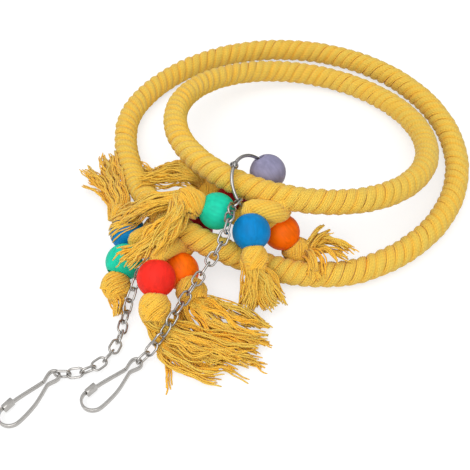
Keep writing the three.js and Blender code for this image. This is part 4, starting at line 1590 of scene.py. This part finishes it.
@dataclass
class Chain:
    """A chain of oval wire links.

    Attributes:
        count: how many links it has.
        steps, sides: how many faces a link has along its wire and round it.
    """

    ring: str
    count: int
    steps: int = 32
    sides: int = 12
    finish: NickelPlate = NickelPlate()

    def ends(self, frame: Frame) -> np.ndarray:
        """Where each link hangs in the one before, and where the hook hangs."""
        joints = [f"{self.ring}_link_{i:02d}_turn" for i in range(1, self.count + 1)]
        return np.array([frame.anchor(joint) for joint in (*joints, f"{self.ring}_hook_turn")])

    def pattern(self) -> Piece:
        """Bends one link from a wire loop.

        Returns:
            The link, about the origin, its long way along X.
        """
        bend = (LINK_WIDTH - LINK_WIRE) / 2
        straight = (LINK_PITCH + GAP + LINK_WIRE) / 2 - bend
        piece = added(
            f"{self.ring}_link_pattern",
            bpy.ops.mesh.primitive_torus_add,
            major_radius=bend,
            minor_radius=LINK_WIRE / 2,
            major_segments=self.steps,
            minor_segments=self.sides,
        )
        for way in BOTH_WAYS:
            pick_faces(piece, lambda face: face.center.x * way > 0)
            bpy.ops.transform.translate(value=(way * straight, 0, 0))
            bpy.ops.object.mode_set(mode="OBJECT")
        bpy.ops.object.shade_smooth()
        return piece

    def build(self, frame: Frame, paints: Paints) -> None:
        """Copies the link to its places.

        Args:
            frame: where the links are.
            paints: where the material comes from.
        """
        pattern = self.pattern()
        ends = self.ends(frame)
        for i in range(self.count):
            node = f"{self.ring}_link_{i + 1:02d}"
            corners = frame.corners(node)
            length = unit(ends[i + 1] - ends[i])
            _, ways = np.linalg.eigh(np.cov((corners - corners.mean(axis=0)).T))
            normal = unit(ways[:, 0] - length * float(np.dot(ways[:, 0], length)))
            piece = copy_of(pattern, f"{node}_wire")
            basis = np.column_stack([length, np.cross(normal, length), normal])
            settle(piece, basis, (ends[i] + ends[i + 1]) / 2)
            paints.dress(piece, self.finish)
            rest_on(piece, node, node)
        bpy.data.objects.remove(pattern)


@dataclass
class WireRing:
    """A hinged wire ring: a fixed arm, an opening gate and a riveted pin.

    Attributes:
        ring: the rope ring that it is on.
        knuckle: the radius of the hinge's eyes.
        plate: their thickness.
        overlap: how far the wire runs into them.
        pin: the pin's radius.
        head: the radius of its heads.
        head_height: their height.
        dome_steps: how many rings of faces a head has.
        wire_steps, wire_sides: how many faces the wire has along it and round it.
        wire_edge, eye_edge: how far the edges of the wire's ends and of the eyes are rounded.
    """

    ring: str
    knuckle: float = 2.3
    plate: float = 1.0
    overlap: float = 0.4
    pin: float = 0.8
    head: float = 1.7
    head_height: float = 0.75
    dome_steps: int = 6
    wire_steps: int = 56
    wire_sides: int = 14
    wire_edge: float = 0.3
    eye_edge: float = 0.18
    finish: NickelPlate = NickelPlate()

    def middle(self, frame: Frame, basis: np.ndarray, hinge: np.ndarray) -> np.ndarray:
        """Finds the ring's middle from the arm's corners.

        Args:
            frame: where the arm is.
            basis: columns in the ring's plane, and its normal.
            hinge: the hinge's place.

        Returns:
            The middle.
        """
        local = (frame.corners(f"{self.ring}_binder_arm") - hinge) @ basis
        local = local[np.linalg.norm(local, axis=1) > 2 * self.knuckle]
        table = np.column_stack([2 * local[:, 0], 2 * local[:, 1], np.ones(len(local))])
        found = np.linalg.lstsq(table, (local[:, :2] ** 2).sum(axis=1), rcond=None)[0]
        return hinge + basis[:, 0] * found[0] + basis[:, 1] * found[1]

    def wire(self, name: str, start: float, end: float) -> Piece:
        """Bends a round wire into an arc about the Z axis.

        Args:
            name: the object's name.
            start: angle of its first end, in degrees.
            end: angle of its last end, in degrees.

        Returns:
            The arc, with its ends closed and rounded.
        """
        first = math.radians(start)
        piece = added(
            name,
            bpy.ops.mesh.primitive_circle_add,
            vertices=self.wire_sides,
            radius=BINDER_WIRE / 2,
            fill_type="NGON",
            location=(BINDER_RADIUS * math.cos(first), BINDER_RADIUS * math.sin(first), 0),
            rotation=(math.pi / 2, 0, first),
        )
        pick_faces(piece, lambda face: True)
        sweep = math.radians(start - end)
        bpy.ops.mesh.spin(steps=self.wire_steps, angle=sweep, center=(0, 0, 0), axis=(0, 0, 1))
        turned_outwards()
        bevel(piece, self.wire_edge, segments=3, angle=60)
        bpy.ops.object.shade_smooth()
        return piece

    def eye(self, name: str, height: float) -> Piece:
        """Presses the flat eye of one half's hinge, with the hole for the pin.

        Args:
            name: the object's name.
            height: the height of its middle.

        Returns:
            The eye.
        """
        piece = added(
            name,
            bpy.ops.mesh.primitive_cylinder_add,
            vertices=28,
            radius=self.knuckle,
            depth=self.plate,
            location=(BINDER_RADIUS, 0, height),
        )
        pick_faces(piece, lambda face: abs(face.normal.z) > 0.9)
        bpy.ops.mesh.inset(thickness=self.knuckle - self.pin - GAP / 2, use_individual=True)
        bpy.ops.mesh.bridge_edge_loops()
        turned_outwards()
        bevel(piece, self.eye_edge, segments=2, angle=40)
        return piece

    def rivet(self, name: str) -> Piece:
        """Turns the hinge pin, and hammers its two ends into domed heads.

        Args:
            name: the object's name.

        Returns:
            The pin.
        """
        centre = (BINDER_RADIUS, 0, 0)
        piece = added(
            name,
            bpy.ops.mesh.primitive_cylinder_add,
            vertices=24,
            radius=self.pin,
            depth=2 * (self.plate + GAP),
            location=centre,
        )
        dome = np.linspace(0, math.pi / 2, self.dome_steps, endpoint=False)
        for way in BOTH_WAYS:
            pick_faces(piece, lambda face: face.normal.z * way > 0.9 and face.center.z * way > 0)
            wide, high = self.pin, 0.0
            for angle in dome:
                new_wide, new_high = self.head * math.cos(angle), self.head_height * math.sin(angle)
                pull_out((0, 0, way * (new_high - high)))
                bpy.ops.transform.resize(value=(new_wide / wide, new_wide / wide, 1), center_override=centre)
                wide, high = new_wide, new_high
            bpy.ops.object.mode_set(mode="OBJECT")
        smooth_but_edges()
        return piece

    def build(self, frame: Frame, paints: Paints) -> None:
        """Makes the two halves and the pin.

        Args:
            frame: where the ring is.
            paints: where the material comes from.
        """
        hinge = frame.anchor(f"{self.ring}_binder_opening")
        normal = frame.axis(f"{self.ring}_binder_opening")
        middle = self.middle(frame, basis_along(normal), hinge)
        first = unit(hinge - middle)
        basis = np.column_stack([first, np.cross(normal, first), normal])
        clear = math.degrees(math.asin((self.knuckle - self.overlap) / BINDER_RADIUS))
        latch = math.degrees(GAP / 2 / BINDER_RADIUS)
        level = GAP / 2 + self.plate / 2
        arm = self.wire(f"{self.ring}_wire_ring_arm", clear, 180 - latch)
        join_into(arm, self.eye("arm_eye", level))
        gate = self.wire(f"{self.ring}_wire_ring_gate", -180 + latch, -clear)
        join_into(gate, self.eye("gate_eye", -level))
        pin = self.rivet(f"{self.ring}_wire_ring_rivet")
        for piece, body, node in ((arm, "arm", "arm"), (gate, "gate", "gate"), (pin, "arm", "pin")):
            settle(piece, basis, middle)
            paints.dress(piece, self.finish)
            rest_on(piece, f"{self.ring}_binder_{body}", f"{self.ring}_binder_{node}")


@dataclass
class SnapHook:
    """A snap hook bent from one flat strip: nose, bow, spine, eye and a sprung gate that clasps the nose.

    Attributes:
        ring: the rope ring that it belongs to.
        heading: how far it is turned on the floor, in degrees.
        length: its length.
        width: its width over the bow.
        eye_width: its width over the eye.
        thickness: the strip's thickness.
        height: the strip's height.
        channel: the length of the gate's channel end.
        lip: how far the channel's lips stand past the nose.
        neck_drop: how far below the eye its neck is.
        stub: how far its short end goes past the neck.
        shoulder: how far out and down its shoulder is from the neck.
        spine: how far in from the bow, and up from its middle, its spine ends.
        nose: how far below the channel's top its nose ends.
        eye_arc: the angles at which the round of its eye starts and ends.
        eye_points, bow_points: how many points the eye's and the bow's rounds have.
        body_spacing, gate_spacing: the distance between sections of the two strips.
        edge, clasp_edge: how far the edges of the strips and of the channel are rounded.
        apart: how far the gate's root is from the body's short end.
    """

    ring: str
    heading: float
    length: float = 38.0
    width: float = 13.6
    eye_width: float = 7.4
    thickness: float = 1.2
    height: float = 2.6
    channel: float = 6.0
    lip: float = 0.5
    neck_drop: float = 1.0
    stub: float = 0.6
    shoulder: tuple[float, float] = (0.4, 1.5)
    spine: tuple[float, float] = (0.9, 11.0)
    nose: float = 1.0
    eye_arc: tuple[float, float] = (200.0, -20.0)
    eye_points: int = 8
    bow_points: int = 9
    body_spacing: float = 0.8
    gate_spacing: float = 1.2
    edge: float = 0.3
    clasp_edge: float = 0.16
    apart: float = 0.05
    finish: NickelPlate = NickelPlate()

    def strip(self, name: str, points: list[tuple[float, float]], spacing: float) -> Piece:
        """Bends a flat strip along points in the XY plane.

        Args:
            name: the object's name.
            points: its middle line.
            spacing: the distance between its sections.

        Returns:
            The strip with rounded edges.
        """
        path = smooth_path(np.array([(x, y, 0.0) for x, y in points]), spacing)
        way = np.gradient(path, axis=0)
        heading = np.unwrap(np.arctan2(way[:, 1], way[:, 0]))
        piece = added(
            name,
            bpy.ops.mesh.primitive_plane_add,
            (self.thickness, self.height, 1),
            size=1,
            location=path[0],
            rotation=(math.pi / 2, 0, heading[0] + math.pi / 2),
        )
        pick_faces(piece, lambda face: True)
        for last, point, turn in zip(path, path[1:], np.diff(heading)):
            pull_out(point - last)
            bpy.ops.transform.rotate(value=-turn, orient_axis="Z", center_override=point)
        turned_outwards()
        bevel(piece, self.edge, segments=3, angle=50)
        smooth_but_edges()
        return piece

    @staticmethod
    def arc(y: float, radius: float, start: float, end: float, count: int) -> list[tuple[float, float]]:
        """Points of an arc about a middle on the Y axis, between two angles in degrees."""
        turns = np.radians(np.linspace(start, end, count))
        return [(radius * math.cos(a), y + radius * math.sin(a)) for a in turns]

    def clasp(self, name: str, face: float, top: float) -> Piece:
        """Folds the gate's channel end, which takes the nose between its lips.

        Args:
            name: the object's name.
            face: where the middle of its back is, across the hook.
            top: where its upper end is, along the hook.

        Returns:
            The channel.
        """
        low = self.height / 2 + GAP
        piece = added(
            name,
            bpy.ops.mesh.primitive_cube_add,
            (self.thickness, self.channel, 2 * (low + self.lip)),
            size=1,
            location=(face, top - self.channel / 2, 0),
        )
        bpy.ops.object.mode_set(mode="EDIT")
        for way in BOTH_WAYS:
            bpy.ops.mesh.select_all(action="SELECT")
            bpy.ops.mesh.bisect(plane_co=(0, 0, way * low), plane_no=(0, 0, 1))
        pick_faces(piece, lambda side: side.normal.x < -0.9 and abs(side.center.z) > low)
        pull_out((-self.thickness - GAP, 0, 0))
        turned_outwards()
        bevel(piece, self.clasp_edge, segments=2, angle=50)
        smooth_but_edges()
        return piece

    def build(self, frame: Frame, paints: Paints) -> None:
        """Bends the hook and its gate.

        Args:
            frame: where the hook hangs.
            paints: where the material comes from.
        """
        bow = (self.width - self.thickness) / 2
        bow_middle = self.thickness - self.length + bow
        eye = (self.eye_width - self.thickness) / 2
        neck_half = self.thickness / 2 + 3 * GAP
        neck = -2 * eye - self.neck_drop
        stub = neck - self.stub
        channel_top = bow_middle + self.channel
        inside = LINK_WIDTH / 2 - LINK_WIRE
        eye_top = GAP + inside - math.sqrt(inside**2 - (self.height / 2) ** 2) + self.thickness / 2
        body_line = [
            (-neck_half, stub),
            (-neck_half, neck),
            *self.arc(eye_top - eye, eye, *self.eye_arc, self.eye_points),
            (neck_half, neck),
            (neck_half + self.shoulder[0], neck - self.shoulder[1]),
            (bow - self.spine[0], bow_middle + self.spine[1]),
            *self.arc(bow_middle, bow, 0, -180, self.bow_points),
            (-bow, channel_top - self.nose),
        ]
        face = -bow + self.thickness + GAP
        gate_line = [(-neck_half, stub - self.apart), (face, channel_top), (face, channel_top - self.channel)]
        body = self.strip(f"{self.ring}_hook_strip", body_line, self.body_spacing)
        gate = self.strip(f"{self.ring}_hook_gate_strip", gate_line, self.gate_spacing)
        join_into(gate, self.clasp("clasp", face, channel_top))
        turn = math.radians(self.heading)
        cos, sin = math.cos(turn), math.sin(turn)
        basis = np.array([[cos, -sin, 0], [sin, cos, 0], [0, 0, 1]])
        for piece, node in ((body, f"{self.ring}_hook"), (gate, f"{self.ring}_hook_gate")):
            settle(piece, basis, frame.anchor(f"{self.ring}_hook_turn"))
            paints.dress(piece, self.finish)
            rest_on(piece, node, node)


@dataclass(frozen=True)
class Lamp:
    """One soft square lamp that points at the object: its place and size in metres, and its power."""

    name: str
    place: Point
    size: float
    power: float

    def hang(self) -> None:
        """Hangs the lamp."""
        data = bpy.data.lights.new(self.name, "AREA")
        data.size = self.size
        data.energy = self.power
        holder = bpy.data.objects.new(self.name, data)
        holder.location = self.place
        holder.rotation_euler = Vector(self.place).to_track_quat("Z", "Y").to_euler()
        bpy.context.scene.collection.objects.link(holder)


@dataclass
class Studio:
    """A pale floor, soft light and the camera.

    Attributes:
        aim: what the camera looks at.
        azimuth: the side that it looks from, in degrees.
        elevation: how far above level it is, in degrees.
        distance: how far away it is.
        lens: its focal length.
        sensor: the width of its film.
        floor_m: the floor's size, in metres.
        floor_drop_m: how far the floor is below the object, in metres.
        floor_seen: the floor's grey where the camera or metal sees it, under its own glow.
        floor_lit: the floor's grey where it throws light back.
        floor_glow: the strength of that glow.
        lamps: the lamps.
        wall_height: the span of heights over which the room's walls get brighter.
        wall_light: how bright they are below and above it.
    """

    aim: Point = (19.8, 35.9, 0.0)
    azimuth: float = 40.5
    elevation: float = 47.52
    distance: float = 500.0
    lens: float = 63.86
    sensor: float = 36.0
    floor_m: float = 6.0
    floor_drop_m: float = 0.0002
    floor_seen: float = 0.4
    floor_lit: float = 0.85
    floor_glow: float = 0.66
    lamps: tuple[Lamp, ...] = (
        Lamp("key", place=(0.0, -0.6, 1.2), size=1.2, power=6.5),
        Lamp("fill", place=(0.7, -0.9, 0.7), size=0.9, power=4.5),
    )
    wall_height: tuple[float, float] = (0.1, 0.75)
    wall_light: tuple[float, float] = (0.12, 0.95)

    def camera(self) -> None:
        """Sets the camera up at the photograph's viewing angle."""
        turn, rise = math.radians(self.azimuth), math.radians(self.elevation)
        back = np.array([math.sin(turn) * math.cos(rise), -math.cos(turn) * math.cos(rise), math.sin(rise)])
        aim = (np.array(self.aim) + TIE) * MM
        data = bpy.data.cameras.new("camera")
        data.lens = self.lens
        data.sensor_width = self.sensor
        holder = bpy.data.objects.new("camera", data)
        holder.location = Vector(aim + back * self.distance * MM)
        holder.rotation_euler = Vector(back).to_track_quat("Z", "Y").to_euler()
        bpy.context.scene.collection.objects.link(holder)
        bpy.context.scene.camera = holder

    @staticmethod
    def seen_rays(tree: Tree) -> Socket:
        """Tells the rays that show a surface to the camera, straight or in metal or glass, from the others.

        Args:
            tree: the node tree to add to.

        Returns:
            One for such rays, and otherwise zero.
        """
        rays = add_node(tree, "ShaderNodeLightPath").outputs
        shiny = figure(tree, "MAXIMUM", rays["Is Glossy Ray"], rays["Is Transmission Ray"])
        return figure(tree, "MAXIMUM", rays["Is Camera Ray"], shiny)

    def floor(self) -> None:
        """Lays the pale floor, which keeps the shadows."""
        place = (0, 0, -self.floor_drop_m)
        floor = added("floor", bpy.ops.mesh.primitive_plane_add, size=self.floor_m, location=place)
        material, tree, output = blank_material("pale_floor")
        seen = self.seen_rays(tree)
        greys = [(grey, grey, grey, 1) for grey in (self.floor_lit, self.floor_seen)]
        matt = add_node(tree, "ShaderNodeBsdfDiffuse", Color=mixed(tree, seen, *greys))
        glow = add_node(tree, "ShaderNodeEmission", Strength=figure(tree, "MULTIPLY", seen, self.floor_glow))
        both = add_node(tree, "ShaderNodeAddShader", _0=matt.outputs[0], _1=glow.outputs[0])
        tree.links.new(both.outputs[0], output.inputs["Surface"])
        floor.data.materials.append(material)

    def light(self) -> None:
        """Lights the object softly from above and from the camera's side, in a room that is darker below."""
        for lamp in self.lamps:
            lamp.hang()
        world = bpy.data.worlds.new("studio")
        bpy.context.scene.world = world
        world.use_nodes = True
        tree = world.node_tree
        tree.nodes.clear()
        output = tree.nodes.new("ShaderNodeOutputWorld")
        straight = add_node(tree, "ShaderNodeLightPath").outputs["Is Camera Ray"]
        place = add_node(tree, "ShaderNodeTexCoord").outputs["Generated"]
        height = add_node(tree, "ShaderNodeSeparateXYZ", Vector=place).outputs["Z"]
        wall = remap(tree, height, self.wall_height, self.wall_light)
        room = add_node(tree, "ShaderNodeMix", {"data_type": "FLOAT"}, _0=straight, _2=wall, _3=1.0)
        sky = add_node(tree, "ShaderNodeBackground", Color=(1, 1, 1, 1), Strength=room.outputs[0])
        tree.links.new(sky.outputs[0], output.inputs["Surface"])

    def build(self) -> None:
        """Sets up camera, floor and light."""
        self.camera()
        self.floor()
        self.light()
        bpy.context.scene.view_settings.view_transform = "Standard"


LARGE = LargeLine()
SMALL = SmallLine()

TAIL_PAIRS = (
    TailPair(
        "large",
        "left",
        LARGE,
        root=(-9, 55),
        seed=11,
        tails=(
            Tail(
                "large_bead_blue",
                ((-9, -9, 13),),
                (
                    Lock(((-47, 4, 9), (-63, 11, 7), (-80, 15, 5)), 4.4, clumps=14),
                    Lock(((-45, 6, 11), (-59, 14, 9), (-80, 29, 6)), 4.6, clumps=16),
                ),
                Knot(size=0.8, way=(-0.86, 0.51, -0.05)),
            ),
            Tail(
                "large_bead_green",
                ((-6, -10, 21), (-9, -16, 19)),
                (Lock(((5, -47, 4), (12, -52, 3)), 3.0, clumps=6),),
                Knot(way=(0.42, -0.87, -0.26), closed=True),
            ),
        ),
    ),
    TailPair(
        "large",
        "right",
        LARGE,
        root=(14.5, 65),
        seed=23,
        tails=(
            Tail(
                "large_bead_orange",
                ((14, -7, 12.5),),
                (
                    Lock(((47, -16, 10), (60, -11, 7), (70, -8, 5), (80, -7, 4)), 3.5, 0.7, 1.5, 5, 0.3),
                    Lock(((47, -22, 10), (62, -20, 8), (78, -15, 5)), 4.5, 0.6, 1.3, 10),
                    Lock(((46, -27, 9), (58, -29, 7), (72, -25, 6), (84, -18, 4)), 4.5, 0.6, 1.2, 9),
                    Lock(((36, -27, 6), (40, -33, 4), (52, -36, 3)), 4.4, 0.6, 1.1, 9, 0.1),
                ),
            ),
            Tail(
                "large_bead_red",
                ((15, -10, 25.5), (16, -17, 29)),
                (
                    Lock(
                        ((37, -50, 8), (46, -52, 4.5), (56, -54, 4), (68, -51, 4), (79, -45, 4)),
                        4.5,
                        0.6,
                        1.4,
                        12,
                        0.2,
                    ),
                    Lock(((38, -50, 8), (47, -54, 4), (58, -63, 2), (64, -71, 1.5)), 1.5, 0.6, 1.6, 1, 1.0),
                    Lock(((40, -49, 10), (53, -47, 8), (69, -40, 6), (86, -31, 5)), 4.8, 0.7, 1.3, 13),
                    Lock(((41, -46, 13), (55, -39, 9), (71, -30, 7), (86, -22, 5)), 4.5, 0.7, 1.2, 10),
                ),
            ),
        ),
    ),
    TailPair(
        "small",
        "left",
        SMALL,
        root=(10.5, 40),
        seed=37,
        tails=(
            Tail(
                "small_bead_maroon",
                ((41, 32, 27), (32, 36, 21)),
                (
                    Lock(((-16, 40, 25), (-30, 40, 20), (-44, 38, 10), (-56, 38, 6)), clumps=9),
                    Lock(((-13, 36, 29), (-26, 35, 26), (-38, 32, 16), (-46, 33, 9)), clumps=8),
                    Lock(((-12, 33, 28), (-22, 28, 26), (-31, 21, 25), (-37, 15, 26)), clumps=8),
                ),
            ),
            Tail(
                "small_bead_green",
                ((39, 31, 32),),
                (
                    Lock(((2, 6, 42), (-8, -2, 38), (-19, -7, 26), (-30, -11, 14)), 4.4, 0.7, 1.2, 16, 0.2),
                    Lock(((10, -1, 43), (11, -13, 40), (9, -24, 34), (3, -37, 27)), 3.5, 0.7, 1.15, 10, 0.1),
                    Lock(((12, 0, 42), (15, -11, 39), (16, -21, 34), (17, -28, 30)), 3.8, 0.7, 1.3, 11, 0.2),
                ),
            ),
        ),
    ),
    TailPair(
        "small",
        "right",
        SMALL,
        root=(12, 35),
        seed=53,
        tails=(
            Tail(
                "small_bead_orange",
                ((47, 44, 33),),
                (
                    Lock(((69, 51, 13), (79, 53, 17), (88, 53, 17)), 4.0, 0.8, 1.3, 9, 0.3),
                    Lock(((66, 50, 13), (68, 55, 17), (70, 60, 19)), 3.5, 0.8, 1.4, 6, 0.4),
                    Lock(((69, 40, 15), (75, 37, 17), (81, 34, 12)), 3.5, 0.7, 1.3, 5, 0.2),
                ),
            ),
            Tail(
                "small_bead_blue",
                ((48, 37, 38),),
                (
                    Lock(((60, 4, 20), (62, 0, 12), (63, -4, 6)), 4.0, 0.7, 1.25, 12, 0.1),
                    Lock(((61, 6, 20), (66, 2, 12), (70, 0, 6)), 4.2, 0.7, 1.25, 12, 0.1),
                    Lock(((62, 8, 20), (69, 7, 13), (75, 8, 7)), 4.2, 0.7, 1.3, 12),
                ),
                Knot(size=0.88),
            ),
        ),
        plump=1.45,
    ),
)

BEADS = {
    "large_bead_blue": Stain.BLUE,
    "large_bead_green": Stain.GREEN,
    "large_bead_red": Stain.RED,
    "large_bead_orange": Stain.ORANGE,
    "small_bead_green": Stain.GREEN,
    "small_bead_maroon": Stain.MAROON,
    "small_bead_blue": Stain.BLUE,
    "small_bead_orange": Stain.ORANGE,
}
RING_BEADS = {"large_bead_on_ring": Stain.MAROON, "small_bead_on_ring": Stain.PURPLE}
LINKS = {"large": 15, "small": 17}
HOOK_HEADINGS = {"large": 2.0, "small": -2.0}

# How closely the loose yarns may come to things, and how finely ropes and chains are gone along for that
ROPE_POINTS = 300
CHAIN_SPACING = 2.0
BEAD_ROOM = 0.1
KNOT_GIVE = 0.8


def room_for_yarns(frame: Frame, chains: tuple[Chain, ...]) -> Clearances:
    """What the loose yarns lie round.

    Args:
        frame: where the beads are.
        chains: the two chains.

    Returns:
        Points and thicknesses of ropes, beads, knots and chains.
    """
    around_ring = np.linspace(0, 1, ROPE_POINTS, endpoint=False)
    lines = [(line.points(around_ring), ROPE_RADIUS) for line in (LARGE, SMALL)]
    for bead in (*BEADS, *RING_BEADS):
        lines.append((frame.anchor(f"{bead}_spin")[None, :], BEAD_RADIUS + BEAD_ROOM))
    for pair in TAIL_PAIRS:
        lines += [(tail.knot_middle(frame)[None, :], KNOT_RADIUS - KNOT_GIVE) for tail in pair.tails]
    for chain in chains:
        lines.append((smooth_path(chain.ends(frame), CHAIN_SPACING), LINK_WIDTH / 2 + GAP))
    return Clearances(lines)


def main() -> None:
    """Builds every piece in order and reports each one."""
    logging.basicConfig(level=logging.INFO, format="%(message)s")
    frame = Frame(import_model())
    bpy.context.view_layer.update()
    paints = Paints()
    Studio().build()
    chains = tuple(Chain(ring, count) for ring, count in LINKS.items())
    room = room_for_yarns(frame, chains)
    WoundRope("large", LARGE, seed=3).build(paints)
    WoundRope("small", SMALL, seed=5, fold=Fold(at=5.0)).build(paints)
    for pair in TAIL_PAIRS:
        pair.build(frame, paints, room)
    for name, stain in BEADS.items():
        Bead(name, stain, TAIL_BORE).build(frame, paints)
    for name, stain in RING_BEADS.items():
        Bead(name, stain, WIRE_BORE).build(frame, paints)
    for chain in chains:
        chain.build(frame, paints)
    for ring, heading in HOOK_HEADINGS.items():
        WireRing(ring).build(frame, paints)
        SnapHook(ring, heading).build(frame, paints)


if __name__ == "__main__":
    main()
